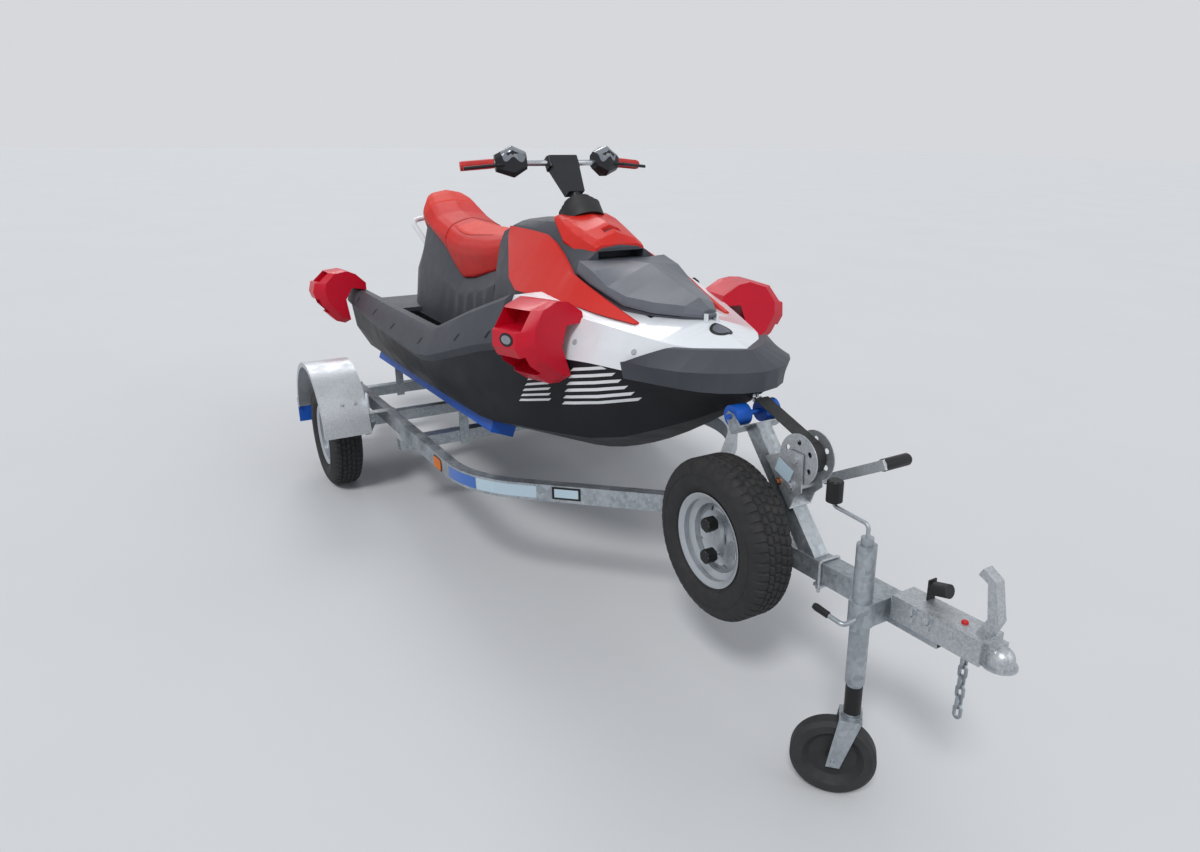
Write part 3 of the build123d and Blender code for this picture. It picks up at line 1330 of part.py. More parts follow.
def trailer():
    drawbar = make_drawbar()
    bunks = make_bunks()
    guards = make_guards()
    return {
        "drawbar": drawbar,
        "rails": make_rails(drawbar),
        "crossbeams": Compound([beam.solid() for beam in make_crossbeams()]),
        "bunk_posts": make_posts(bunks),
        "bunks": bunks,
        "axle": make_axle(),
        "mudguards": guards,
        "mud_flaps": make_flaps(guards),
        "tail_lamps": make_lamps(),
        "winch_post": make_winch_post(),
        "winch_frame": make_winch_frame(),
        "winch_drum": make_drum(),
        "winch_strap": make_strap(),
        "winch_crank": make_crank(),
        "bow_roller": make_roller(),
        "spare_clamp": make_spare_clamp(),
        "jockey_tube": make_jockey_tube(),
        "jockey_clamp": make_jockey_clamp(),
        "jockey_leg": make_jockey_leg(),
        "jockey_fork": make_jockey_fork(),
        "jockey_wheel": make_jockey_wheel(),
        "coupling": make_coupling(drawbar),
        "coupling_lever": make_coupling_lever(),
        "safety_chain": make_chain(),
        "plug_holder": make_plug_holder(),
    }


def wheels():
    port = (0, TRACK / 2, WHEEL_R)
    starboard = (0, -TRACK / 2, WHEEL_R)
    rim = rim_ring((0, 0, 0))
    spare = mirror(rim_ring((0, 0, 0), hub=False), about=Plane.XZ)
    return {
        "tyre_port": tyre_ring(port),
        "tyre_starboard": tyre_ring(starboard),
        "rim_port": Pos(*port) * rim,
        "rim_starboard": Pos(*starboard) * mirror(rim, about=Plane.XZ),
        "spare_tyre": tyre_ring((SPARE_X, SPARE_Y, SPARE_Z)),
        "spare_rim": Pos(SPARE_X, SPARE_Y, SPARE_Z) * spare,
    }


def shift_of(pieces):
    """Move that sets the origin under the middle of the whole."""
    box = Compound([solid for piece in pieces.values() for solid in piece.solids()]).bounding_box()
    return Vector(-(box.min.X + box.max.X) / 2, 0, -box.min.Z)


LEVEL_NODES = ("tyre_port", "tyre_starboard", "rim_port", "rim_starboard")


def tip(pieces):
    """Tip the frame and craft nose-up about the axle."""
    lean = Pos(0, 0, WHEEL_R) * Rot(0, -TILT, 0) * Pos(0, 0, -WHEEL_R)
    return {name: piece if name in LEVEL_NODES else lean * piece for name, piece in pieces.items()}


def main():
    pieces = tip({**craft(), **trailer(), **wheels()})
    shift = Pos(shift_of(pieces))
    os.makedirs("parts", exist_ok=True)
    for name, piece in pieces.items():
        export_step(shift * piece, f"parts/{name}.step")


if __name__ == "__main__":
    main()
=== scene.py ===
import json
from math import ceil, cos, exp, hypot, pi, radians, sin

import bmesh
import bpy
from mathutils import Matrix, Vector
from mathutils.bvhtree import BVHTree
from mathutils.geometry import delaunay_2d_cdt


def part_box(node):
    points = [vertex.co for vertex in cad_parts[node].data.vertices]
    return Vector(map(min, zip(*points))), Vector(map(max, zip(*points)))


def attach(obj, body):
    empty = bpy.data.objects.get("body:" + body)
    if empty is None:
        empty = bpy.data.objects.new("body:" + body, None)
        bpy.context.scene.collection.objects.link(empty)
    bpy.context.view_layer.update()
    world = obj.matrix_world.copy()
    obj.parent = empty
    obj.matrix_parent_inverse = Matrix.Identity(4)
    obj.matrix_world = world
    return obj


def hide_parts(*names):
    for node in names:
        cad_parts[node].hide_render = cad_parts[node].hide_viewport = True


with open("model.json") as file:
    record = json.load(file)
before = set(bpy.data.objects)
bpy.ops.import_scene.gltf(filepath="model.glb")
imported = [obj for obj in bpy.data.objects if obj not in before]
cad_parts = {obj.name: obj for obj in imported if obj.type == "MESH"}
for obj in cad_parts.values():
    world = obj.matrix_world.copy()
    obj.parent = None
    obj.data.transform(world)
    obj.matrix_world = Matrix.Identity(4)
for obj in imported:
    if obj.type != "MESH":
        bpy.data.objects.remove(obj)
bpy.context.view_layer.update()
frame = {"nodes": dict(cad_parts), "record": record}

# A two-seat personal watercraft standing on its road trailer. Lengths are metres.
# Each CAD node gets a procedural material here, and small or soft pieces are added round them.

NODES = frame["nodes"]
ROOT = "watercraft_on_trailer"

# The road wheels' axle, from which places are measured
TYRE_LOW, TYRE_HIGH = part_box("tyre_port")
AXLE_X = (TYRE_LOW.x + TYRE_HIGH.x) / 2
AXLE_Z = (TYRE_LOW.z + TYRE_HIGH.z) / 2
TILT = radians(3.5)  # nose-up angle of the frame and the craft

# Camera, placed from the axle
EYE = Vector((AXLE_X + 3.7001, -1.4836, 1.6160))
HEADING = radians(30.1335)  # clockwise from straight aft
PITCH = radians(20.4002)
ROLL = radians(-0.8593)
LENS = 24.056  # millimetres, as SENSOR is
SENSOR = 36.0


def at(x, y, z):
    """Place of a point given level: forward of the axle, to port, and over the floor."""
    rise = z - AXLE_Z
    return Vector((AXLE_X + x * cos(TILT) - rise * sin(TILT), y, AXLE_Z + x * sin(TILT) + rise * cos(TILT)))


def beside(place, side):
    """Place of a level point on one side: -1 is starboard, 1 is port."""
    x, y, z = place
    return at(x, side * y, z)


def way(x, y, z):
    """Direction given level."""
    return Vector((x * cos(TILT) - z * sin(TILT), y, x * sin(TILT) + z * cos(TILT))).normalized()


def level(point):
    """A scene point as the three values that at() takes."""
    run, rise = point[0] - AXLE_X, point[2] - AXLE_Z
    return (run * cos(TILT) + rise * sin(TILT), point[1], AXLE_Z + rise * cos(TILT) - run * sin(TILT))


FORWARD = way(1, 0, 0)
UPWARD = way(0, 0, 1)
TO_PORT = Vector((0, 1, 0))
TO_STARBOARD = Vector((0, -1, 0))
PLUMB = Vector((0, 0, 1))  # straight up from the floor, without the tilt
SIDES = (("starboard", -1), ("port", 1))


def srgb(*levels):
    """Linear colour from 0-255 display levels."""
    shares = [level / 255 for level in levels]
    return tuple(s / 12.92 if s <= 0.04045 else ((s + 0.055) / 1.055) ** 2.4 for s in shares) + (1.0,)


# Shader helpers

MIX_FIRST, MIX_SECOND = 6, 7  # the colour inputs of a mix node
MIX_RESULT = 2  # its colour output


def shade(color, factor):
    """The colour made darker or lighter."""
    return tuple(min(1.0, c * factor) for c in color[:3]) + (1.0,)


class Tree:
    """A material's node tree while it is being built."""

    def __init__(self, name):
        self.material = bpy.data.materials.new(name)
        self.material.use_nodes = True
        self.nodes = self.material.node_tree.nodes
        self.links = self.material.node_tree.links
        self.shader = self.nodes["Principled BSDF"]
        self.place = self.add("ShaderNodeTexCoord").outputs["Object"]

    def feed(self, target, value):
        """Link a socket, or set a plain value."""
        if isinstance(value, bpy.types.NodeSocket):
            self.links.new(value, target)
        else:
            target.default_value = value

    def add(self, kind, inputs=None, **values):
        """A new node with its values set and its inputs fed."""
        node = self.nodes.new(kind)
        for key, value in values.items():
            setattr(node, key, value)
        for key, value in (inputs or {}).items():
            self.feed(node.inputs[key], value)
        return node

    def stretched(self, factors):
        """The object's own coordinates, scaled by three factors where any are given."""
        if factors is None:
            return self.place
        return self.add("ShaderNodeMapping", {"Scale": factors, "Vector": self.place}).outputs["Vector"]

    def noise(self, scale, detail=3.0, rough=0.55, stretch=None):
        """Cloudy noise, finer with a larger scale."""
        inputs = {"Scale": scale, "Detail": detail, "Roughness": rough, "Vector": self.stretched(stretch)}
        return self.add("ShaderNodeTexNoise", inputs).outputs["Fac"]

    def cells(self, scale, feature="F1", output="Distance", stretch=None):
        """Cell pattern for grain and crystals."""
        inputs = {"Scale": scale, "Vector": self.stretched(stretch)}
        return self.add("ShaderNodeTexVoronoi", inputs, feature=feature).outputs[output]

    def math(self, operation, first, second):
        return self.add("ShaderNodeMath", {0: first, 1: second}, operation=operation).outputs[0]

    def scaled(self, value, low, high, from_low=0.0, from_high=1.0):
        """The range from_low to from_high of a value, spread from low to high."""
        inputs = {"Value": value, "From Min": from_low, "From Max": from_high, "To Min": low, "To Max": high}
        return self.add("ShaderNodeMapRange", inputs).outputs["Result"]

    def patches(self, low, high, scale, detail, rough=0.55, within=(0.0, 1.0), stretch=None):
        """Noise whose range `within` is spread from low to high."""
        return self.scaled(self.noise(scale, detail, rough, stretch), low, high, *within)

    def blend(self, share, first, second):
        inputs = {"Factor": share, MIX_FIRST: first, MIX_SECOND: second}
        return self.add("ShaderNodeMix", inputs, data_type="RGBA").outputs[MIX_RESULT]

    def mottled(self, color, dark, pale, scale, detail, rough=0.55, within=(0.3, 0.7)):
        """The colour clouded between a darker and a paler tone, both given as factors."""
        cloud = self.patches(0.0, 1.0, scale, detail, rough, within)
        return self.blend(cloud, shade(color, dark), shade(color, pale))

    def bump(self, height, strength, depth, under=None):
        """Relief `depth` metres deep, on top of another one where that is given."""
        inputs = {"Strength": strength, "Distance": depth, "Height": height}
        if under is not None:
            inputs["Normal"] = under
        return self.add("ShaderNodeBump", inputs).outputs["Normal"]

    def facing_up(self):
        """How far the surface faces the sky, 0 to 1."""
        normal = self.add("ShaderNodeNewGeometry").outputs["Normal"]
        parts = self.add("ShaderNodeSeparateXYZ", {0: normal})
        return self.math("MAXIMUM", parts.outputs["Z"], 0.0)

    def edges(self, radius):
        """Share of edge wear: 1 on sharp edges, 0 on flats."""
        rounded = self.add("ShaderNodeBevel", {"Radius": radius}, samples=4).outputs["Normal"]
        plain = self.add("ShaderNodeNewGeometry").outputs["Normal"]
        dot = self.add("ShaderNodeVectorMath", {0: rounded, 1: plain}, operation="DOT_PRODUCT")
        return self.scaled(dot.outputs["Value"], 1.0, 0.0, 0.75, 0.99)

    def done(self, color, roughness, normal=None, **plain):
        """The finished material; plain inputs go by their names, with _ for a space."""
        self.feed(self.shader.inputs["Base Color"], color)
        self.feed(self.shader.inputs["Roughness"], roughness)
        if normal is not None:
            self.feed(self.shader.inputs["Normal"], normal)
        for key, value in plain.items():
            self.shader.inputs[key.replace("_", " ")].default_value = value
        return self.material


# Materials

PALE_DUST = srgb(168, 160, 148)
ROAD_DUST = srgb(120, 112, 100)
ZINC_BLOOM = srgb(196, 200, 204)
ZINC_STAIN = srgb(104, 102, 98)
DIRT = srgb(110, 100, 88)


def gelcoat(name, color, rough, dust=0.06, coat=0.35, shine=0.5):
    """Glossy moulded skin with faint ripple, haze and settled dust."""
    t = Tree(name)
    tone = t.mottled(color, 0.93, 1.06, 3.5, 4)
    speck = t.patches(0.0, 1.0, 60, 6, 0.7, (0.55, 0.8))
    settled = t.math("MULTIPLY", t.facing_up(), t.math("MULTIPLY", speck, dust))
    tone = t.blend(settled, tone, PALE_DUST)
    ripple = t.bump(t.noise(26, 2), 0.05, 0.004)
    peel = t.bump(t.noise(420, 2), 0.06, 0.0006, ripple)
    return t.done(tone, t.patches(rough * 0.8, rough * 1.5, 9, 5), peel,
                  Coat_Weight=coat, Coat_Roughness=0.08, Specular_IOR_Level=shine)


def moulded(name, color, rough, grain=0.35, scale=1400, scuff=0.12):
    """Matt plastic with a fine moulded grain, scuffs and paler edges."""
    t = Tree(name)
    tone = t.mottled(color, 0.9, 1.1, 6, 5, within=(0.3, 0.72))
    rub = t.patches(0.0, scuff, 38, 6, 0.7, (0.56, 0.72), (1.0, 0.35, 1.0))
    tone = t.blend(rub, tone, shade(color, 2.2))
    tone = t.blend(t.math("MULTIPLY", t.edges(0.002), 0.25), tone, shade(color, 1.9))
    pebble = t.bump(t.cells(scale), grain, 0.0005)
    broad = t.bump(t.noise(30, 3), 0.05, 0.002, pebble)
    return t.done(tone, t.patches(rough - 0.08, rough + 0.1, 18, 4), broad, Specular_IOR_Level=0.32)


def vinyl(name, color, paler):
    """Marine vinyl: pebbled and softly creased, with a paler painted sheen where the mesh's attribute gives
    one.
    """
    t = Tree(name)
    tone = t.mottled(color, 0.88, 1.08, 5, 4)
    groove = t.scaled(t.cells(900, "DISTANCE_TO_EDGE"), 0.0, 1.0, 0.0, 0.12)
    # Painted shade: darker in the pits between the grain's pebbles
    tone = t.blend(t.math("MULTIPLY", t.math("SUBTRACT", 1.0, groove), 0.3), tone, shade(color, 0.55))
    # Painted sheen: the paler colour where the mesh's attribute is set
    painted_sheen = t.add("ShaderNodeAttribute", attribute_name="painted_sheen")
    tone = t.blend(painted_sheen.outputs["Fac"], tone, srgb(*paler))
    grain = t.bump(groove, 0.4, 0.0005)
    crease = t.bump(t.noise(22, 3, 0.6, (0.6, 1.4, 1.0)), 0.12, 0.004, grain)
    return t.done(tone, t.patches(0.4, 0.56, 30, 4), crease, Specular_IOR_Level=0.3)


def rubber(name, color, rough, dust):
    """Dull rubber with dust on what faces up."""
    t = Tree(name)
    tone = t.mottled(color, 0.8, 1.25, 14, 6, 0.7, (0.35, 0.7))
    settled = t.math("MULTIPLY", t.facing_up(), t.patches(0.0, dust, 45, 5, within=(0.4, 0.75)))
    tone = t.blend(settled, tone, ROAD_DUST)
    fine = t.bump(t.noise(700, 3), 0.25, 0.0008)
    return t.done(tone, t.patches(rough - 0.1, rough + 0.12, 25, 4), fine)


def galvanized(name, color, spangle=95, bright=1.0):
    """Hot-dip zinc: crystal spangles, dull bloom and runs."""
    t = Tree(name)
    crystal = t.cells(spangle, output="Color", stretch=(1.0, 1.0, 0.8))
    red, green, blue = t.add("ShaderNodeSeparateColor", {0: crystal}).outputs
    tone = t.blend(red, shade(color, 0.78 * bright), shade(color, 1.12 * bright))
    bloom = t.patches(0.0, 0.55, 7, 6, 0.65, (0.42, 0.7))
    tone = t.blend(bloom, tone, ZINC_BLOOM)
    stain = t.patches(0.0, 0.35, 16, 6, 0.7, (0.58, 0.75), (1.0, 1.0, 0.3))
    tone = t.blend(stain, tone, ZINC_STAIN)
    roughness = t.math("ADD", t.scaled(green, 0.3, 0.46), t.scaled(bloom, 0.0, 0.22, 0.0, 0.55))
    relief = t.bump(t.noise(55, 4), 0.12, 0.001)
    facet = t.bump(blue, 0.06, 0.0005, relief)
    return t.done(tone, roughness, facet, Metallic=0.78)


def metal(name, color, rough, brush=0.0):
    """Plated, cast or brushed metal with handling marks."""
    t = Tree(name)
    tone = t.mottled(color, 0.86, 1.06, 20, 5)
    grime = t.patches(0.0, 0.3, 34, 6, 0.7, (0.6, 0.78))
    tone = t.blend(grime, tone, shade(color, 0.45))
    relief = t.bump(t.noise(160, 3, 0.5, (1.0, 30, 1.0)), 0.08 + brush, 0.0006)
    return t.done(tone, t.patches(rough * 0.75, rough * 1.35, 48, 5), relief, Metallic=0.92)


def painted(name, color, rough=0.32, metallic=0.35):
    """Metallic paint with fine flake and patches of dirt."""
    t = Tree(name)
    tone = t.mottled(color, 0.92, 1.05, 900, 2, within=(0.35, 0.65))
    dirt = t.patches(0.0, 0.3, 26, 6, 0.7, (0.55, 0.8))
    tone = t.blend(dirt, tone, DIRT)
    relief = t.bump(t.noise(90, 3), 0.06, 0.0008)
    return t.done(tone, t.patches(rough * 0.8, rough * 1.5, 30, 4), relief,
                  Metallic=metallic, Coat_Weight=0.2)


def ribbed_foam(name, color):
    """Foam deck mat with fine moulded ribs."""
    t = Tree(name)
    inputs = {"Scale": 22, "Vector": t.place}
    rib = t.add("ShaderNodeTexWave", inputs, wave_type="BANDS", bands_direction="Y")
    tone = t.mottled(color, 0.85, 1.3, 30, 5, within=(0.35, 0.7))
    relief = t.bump(rib.outputs["Fac"], 0.6, 0.002, t.bump(t.noise(600, 3), 0.3, 0.0005))
    return t.done(tone, t.patches(0.72, 0.9, 20, 4), relief)


def backdrop(name, color, paler):
    """Studio floor of a nearly even grey."""
    t = Tree(name)
    return t.done(t.blend(t.noise(0.8, 3), color, srgb(*paler)), 0.85)


TRIM = dict(rough=0.45, grain=0.15, scale=1800, scuff=0.05)
DECAL = dict(rough=0.24)
ZINC = (180, 184, 188)

# Each finish: kind, display colour, and its own values
FINISHES = {
    "hull_black": (gelcoat, (24, 26, 30), dict(rough=0.42, dust=0.03, coat=0.0, shine=0.22)),
    "deck_grey": (moulded, (66, 69, 76), dict(rough=0.5, grain=0.25, scale=1800, scuff=0.06)),
    "deck_white": (gelcoat, (222, 226, 230), dict(rough=0.18)),
    # The seat's paler colour is a painted sheen on its upward faces
    "seat_red": (vinyl, (204, 30, 22), dict(paler=(222, 62, 44))),
    "trim_red": (gelcoat, (206, 36, 26), dict(rough=0.36, dust=0.02, coat=0.08, shine=0.3)),
    "lid_grey": (moulded, (96, 100, 108), dict(rough=0.4, grain=0.18, scale=1800, scuff=0.05)),
    "rubber_black": (rubber, (27, 28, 30), dict(rough=0.6, dust=0.08)),
    "column_black": (moulded, (34, 35, 39), dict(rough=0.4, grain=0.2, scale=1600, scuff=0.06)),
    "mirror_grey": (gelcoat, (118, 124, 132), dict(rough=0.12, dust=0.1)),
    "bar_silver": (metal, (188, 192, 196), dict(rough=0.26)),
    "grip_red": (rubber, (190, 30, 28), dict(rough=0.5, dust=0.03)),
    "fender_red": (moulded, (196, 10, 40), dict(rough=0.34, grain=0.1, scale=900, scuff=0.04)),
    "pump_alloy": (metal, (150, 153, 156), dict(rough=0.4)),
    "impeller_steel": (metal, (172, 175, 178), dict(rough=0.22, brush=0.1)),
    "bucket_black": (moulded, (38, 39, 42), dict(rough=0.5)),
    "eye_steel": (metal, (178, 181, 184), dict(rough=0.2)),
    "engine_grey": (painted, (84, 87, 91), {}),
    "galvanized": (galvanized, (160, 167, 173), {}),
    "zinc": (galvanized, ZINC, dict(spangle=260, bright=1.04)),
    "sheet_zinc": (galvanized, ZINC, dict(spangle=420, bright=1.12)),
    "bunk_blue": (moulded, (22, 84, 178), dict(rough=0.45, grain=0.15, scale=500)),
    "lamp_red": (gelcoat, (150, 18, 22), dict(rough=0.15)),
    "tyre_rubber": (rubber, (36, 36, 38), dict(rough=0.78, dust=0.16)),
    "rim_silver": (painted, (176, 181, 186), dict(rough=0.28, metallic=0.6)),
    "jockey_rubber": (rubber, (40, 41, 43), dict(rough=0.72, dust=0.1)),
    "mat_black": (ribbed_foam, (30, 31, 34), {}),
    "copper": (metal, (176, 124, 88), dict(rough=0.35)),
    # Painted shade in the gunwale vents
    "slot_dark": (moulded, (10, 10, 12), TRIM),
    "thread_dark": (moulded, (44, 12, 12), TRIM),
    "knob_black": (moulded, (22, 23, 25), TRIM),
    "button_red": (moulded, (196, 24, 26), TRIM),
    "reflector_amber": (moulded, (214, 112, 22), TRIM),
    "stripe_white": (gelcoat, (226, 228, 230), DECAL),
    "stripe_grey": (gelcoat, (128, 132, 138), DECAL),
    "plug_grey": (gelcoat, (168, 171, 174), DECAL),
    "sticker_blue": (gelcoat, (40, 96, 176), DECAL),
    "label_pale": (gelcoat, (176, 196, 208), DECAL),
    "floor": (backdrop, (202, 203, 205), dict(paler=(208, 209, 210))),
}
MATERIALS = {name: kind(name, srgb(*color), **values) for name, (kind, color, values) in FINISHES.items()}


def placed(name, data):
    """A new object in the scene."""
    piece = bpy.data.objects.new(name, data)
    bpy.context.collection.objects.link(piece)
    return piece


def modify(piece, name, kind, **values):
    """Add a modifier with its values set."""
    modifier = piece.modifiers.new(name, kind)
    for key, value in values.items():
        setattr(modifier, key, value)
    return modifier


def dress(piece, finish):
    """Give a piece one of the materials, and no other."""
    piece.data.materials.clear()
    piece.data.materials.append(MATERIALS[finish])


# Shapes

GRAZING = 0.05  # surfaces facing a cast line less than this aren't hit
UNDERSIDE = 0.2  # a laid sheet's underside, as a share of its lift


def turns(count):
    """Angles of even steps round a circle."""
    return [2 * pi * turn / count for turn in range(count)]


def steps(low, high, count):
    """Numbers spread evenly from low to high."""
    return [low + (high - low) * share / (count - 1) for share in range(count)]


def circle(middle, radius, side, up, count):
    """Points round a circle in the plane of two directions."""
    return [middle + radius * (cos(t) * side + sin(t) * up) for t in turns(count)]


def finely(outline, step):
    """Closed outline with points no further apart than a step."""
    points = []
    for start, end in zip(outline, outline[1:] + outline[:1]):
        count = max(1, ceil(hypot(end[0] - start[0], end[1] - start[1]) / step))
        for part in range(count):
            share = part / count
            points.append((start[0] + share * (end[0] - start[0]), start[1] + share * (end[1] - start[1])))
    return points


def oval(width, height, count=28, power=1.0):
    """Outline of an ellipse, or of a box with round corners where power is under 1."""
    def bent(value):
        return abs(value) ** power * (1 if value >= 0 else -1)
    return [(width / 2 * bent(cos(t)), height / 2 * bent(sin(t))) for t in turns(count)]


def oblong(low, high, half):
    """Outline of a rectangle from low to high, and half as wide to each side of the middle."""
    return [(low, -half), (high, -half), (high, half), (low, half)]


def plane_at(place, out, along):
    """Matrix with its z axis out of a surface and its x axis along a direction."""
    out = out.normalized()
    along = (along - out * along.dot(out)).normalized()
    axes = Matrix((along, out.cross(along), out)).transposed()
    return Matrix.Translation(place) @ axes.to_4x4()


def side_plane(place, side, out):
    """Plane facing out of one side of the craft, with u forward."""
    return plane_at(beside(place, side), way(out[0], side * out[1], out[2]), FORWARD)


def upright(outline, side):
    """The outline as it goes on a side's plane, so that v is up on either side."""
    return [(u, v * -side) for u, v in outline]


class Skin:
    """Surface of some objects, on which thin pieces are laid."""

    def __init__(self, *objects):
        whole = bmesh.new()
        for piece in objects:
            mesh = piece.data.copy()
            mesh.transform(piece.matrix_world)
            whole.from_mesh(mesh)
            bpy.data.meshes.remove(mesh)
        self.tree = BVHTree.FromBMesh(whole)
        whole.free()

    def under(self, plane, spot, reach=0.25):
        """The surface point below a spot of a plane, and the way out of it."""
        out = (plane.to_3x3() @ PLUMB).normalized()
        start = plane @ Vector((spot[0], spot[1], 0)) + out * reach
        place, normal, _, _ = self.tree.ray_cast(start, -out, 2 * reach)
        if place is None or normal.dot(out) < GRAZING:
            return None
        return place, normal

    def near(self, place):
        """The nearest surface point, and the way out of it."""
        spot, normal, _, _ = self.tree.find_nearest(place)
        return spot, normal


class Shape:
    """Points and faces of one piece, added form by form."""

    def __init__(self):
        self.points = []
        self.faces = []

    def add(self, points, faces):
        first = len(self.points)
        self.points += [tuple(point) for point in points]
        self.faces += [tuple(first + corner for corner in face) for face in faces]

    def rings(self, rings, closed=False):
        """Skin over rings of points, with its ends closed unless it joins up."""
        count, last = len(rings[0]), len(rings)
        faces = []
        for row in range(last if closed else last - 1):
            low, high = row * count, (row + 1) % last * count
            for spot in range(count):
                after = (spot + 1) % count
                faces.append((low + spot, low + after, high + after, high + spot))
        if not closed:
            faces.append(tuple(range(count))[::-1])
            faces.append(tuple(range((last - 1) * count, last * count)))
        self.add([point for ring in rings for point in ring], faces)

    def tube(self, path, radius, sides=8, closed=False):
        """Round bar along a path."""
        rings = []
        side = None
        last = len(path)
        for spot, point in enumerate(path):
            after = path[(spot + 1) % last] if closed or spot + 1 < last else point
            before = path[spot - 1] if closed or spot else point
            ahead = (after - before).normalized()
            if side is None:
                side = ahead.orthogonal().normalized()
            side = (side - ahead * side.dot(ahead)).normalized()
            rings.append(circle(point, radius, side, ahead.cross(side), sides))
        self.rings(rings, closed)

    def turned(self, place, axis, profile, sides=24):
        """Solid of revolution; the profile is (along the axis, radius) from its low end up."""
        axis = axis.normalized()
        side = axis.orthogonal().normalized()
        up = axis.cross(side)
        self.rings([circle(place + axis * along, radius, side, up, sides) for along, radius in profile])

    def slab(self, plane, outline, low, high):
        """Plate between two heights over a plane."""
        self.rings([[plane @ Vector((u, v, height)) for u, v in outline] for height in (low, high)])

    def laid(self, skin, plane, outline, step, lift=0.0005, thick=0.001):
        """Thin closed sheet laid on a skin; its outline is drawn in the plane."""
        edge = finely(outline, step)
        us, vs = zip(*edge)
        inner = [(min(us) + row * step, min(vs) + column * step)
                 for row in range(1, ceil((max(us) - min(us)) / step))
                 for column in range(1, ceil((max(vs) - min(vs)) / step))]
        count = len(edge)
        border = [(spot, (spot + 1) % count) for spot in range(count)]
        flat, _, faces, *_ = delaunay_2d_cdt([Vector(p) for p in edge + inner], border, [], 1, 1e-6)
        tops, bottoms = [], []
        for spot in flat:
            hit = skin.under(plane, spot)
            tops.append(hit and hit[0] + hit[1] * (lift + thick))
            bottoms.append(hit and hit[0] + hit[1] * lift * UNDERSIDE)
        faces = [tuple(face) for face in faces if all(tops[corner] for corner in face)]
        used = sorted({corner for face in faces for corner in face})
        place = {corner: spot for spot, corner in enumerate(used)}
        faces = [tuple(place[corner] for corner in face) for face in faces]
        high = len(used)
        rim = {}
        for face in faces:
            for start, end in zip(face, face[1:] + face[:1]):
                if (end, start) in rim:
                    del rim[(end, start)]
                else:
                    rim[(start, end)] = True
        walls = [(end, start, start + high, end + high) for start, end in rim]
        lower = [tuple(corner + high for corner in face[::-1]) for face in faces]
        self.add([tops[c] for c in used] + [bottoms[c] for c in used], faces + walls + lower)

    def made(self, name, finish, body=ROOT, smooth=35.0):
        """The piece, on its body and shaded smooth up to an edge angle in degrees."""
        mesh = bpy.data.meshes.new(name)
        mesh.from_pydata(self.points, [], self.faces)
        mesh.validate()
        outward = bmesh.new()
        outward.from_mesh(mesh)
        bmesh.ops.recalc_face_normals(outward, faces=outward.faces)
        outward.to_mesh(mesh)
        outward.free()
        mesh.polygons.foreach_set("use_smooth", [True] * len(mesh.polygons))
        mesh.set_sharp_from_angle(angle=radians(smooth))
        piece = placed(name, mesh)
        dress(piece, finish)
        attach(piece, body)
        return piece


def sheet(name, finish, skin, plane, outline, step, lift, thick=0.001, body=ROOT):
    """A piece that is one thin sheet laid on a skin."""
    shape = Shape()
    shape.laid(skin, plane, outline, step, lift, thick)
    shape.made(name, finish, body)


# CAD nodes

# Nodes whose edges are rounded by a modifier, and how wide
EASED = {"rails": 0.0012, "crossbeams": 0.0012, "drawbar": 0.0014, "axle": 0.0012,
         "bunk_posts": 0.001, "bunks": 0.0025, "storage_lid": 0.002}
LOOKS = {"mudguards": "sheet_zinc"}  # nodes with a finish of their own within their slot
EDGE_ANGLE = 32.0  # nodes are shaded smooth up to this edge angle, in degrees
EDGE_ANGLES = {"hull": 20.0}  # nodes with their own
WELD = 1e-5  # points closer than this are joined


def shading_group():
    """Node group that joins split edges and shades smooth up to an edge angle."""
    group = bpy.data.node_groups.new("smooth_by_angle", "GeometryNodeTree")
    sockets = (("Mesh", "INPUT", "Geometry"), ("Limit", "INPUT", "Float"), ("Mesh", "OUTPUT", "Geometry"))
    for name, in_out, kind in sockets:
        group.interface.new_socket(name, in_out=in_out, socket_type="NodeSocket" + kind)
    nodes, links = group.nodes, group.links
    start, end = nodes.new("NodeGroupInput"), nodes.new("NodeGroupOutput")
    weld = nodes.new("GeometryNodeMergeByDistance")
    weld.inputs["Distance"].default_value = WELD
    angle = nodes.new("GeometryNodeInputMeshEdgeAngle")
    sharp = nodes.new("FunctionNodeCompare")
    sharp.data_type = "FLOAT"
    sharp.operation = "GREATER_THAN"
    normal = nodes.new("GeometryNodeSetMeshNormal")
    normal.mode = "SHARPNESS"
    normal.inputs["Remove Custom"].default_value = True
    links.new(start.outputs["Mesh"], weld.inputs["Geometry"])
    links.new(weld.outputs["Geometry"], normal.inputs["Mesh"])
    links.new(angle.outputs["Unsigned Angle"], sharp.inputs["A"])
    links.new(start.outputs["Limit"], sharp.inputs["B"])
    links.new(sharp.outputs["Result"], normal.inputs["Edge Sharpness"])
    links.new(normal.outputs["Mesh"], end.inputs["Mesh"])
    return group


SMOOTHING = shading_group()


def smooth_node(node, limit):
    """Shade a node smooth up to an edge angle in degrees."""
    modifier = modify(node, "smooth", "NODES", node_group=SMOOTHING)
    modifier[SMOOTHING.interface.items_tree["Limit"].identifier] = radians(limit)


def ease_edges(node, width):
    """Round a node's sharp edges, and keep its flats flat."""
    modify(node, "edges", "BEVEL", width=width, segments=2, limit_method="ANGLE", angle_limit=radians(40))
    modify(node, "flats", "WEIGHTED_NORMAL", keep_sharp=True)


def dress_nodes():
    """Give each CAD node the material of its slot, and shade it smooth up to its real edges."""
    for part in frame["record"]["subparts"]:
        name = part["node"]
        node = NODES[name]
        dress(node, LOOKS.get(name, part["material_slot"]))
        smooth_node(node, EDGE_ANGLES.get(name, EDGE_ANGLE))
        if name in EASED:
            ease_edges(node, EASED[name])


dress_nodes()


# Seat cover

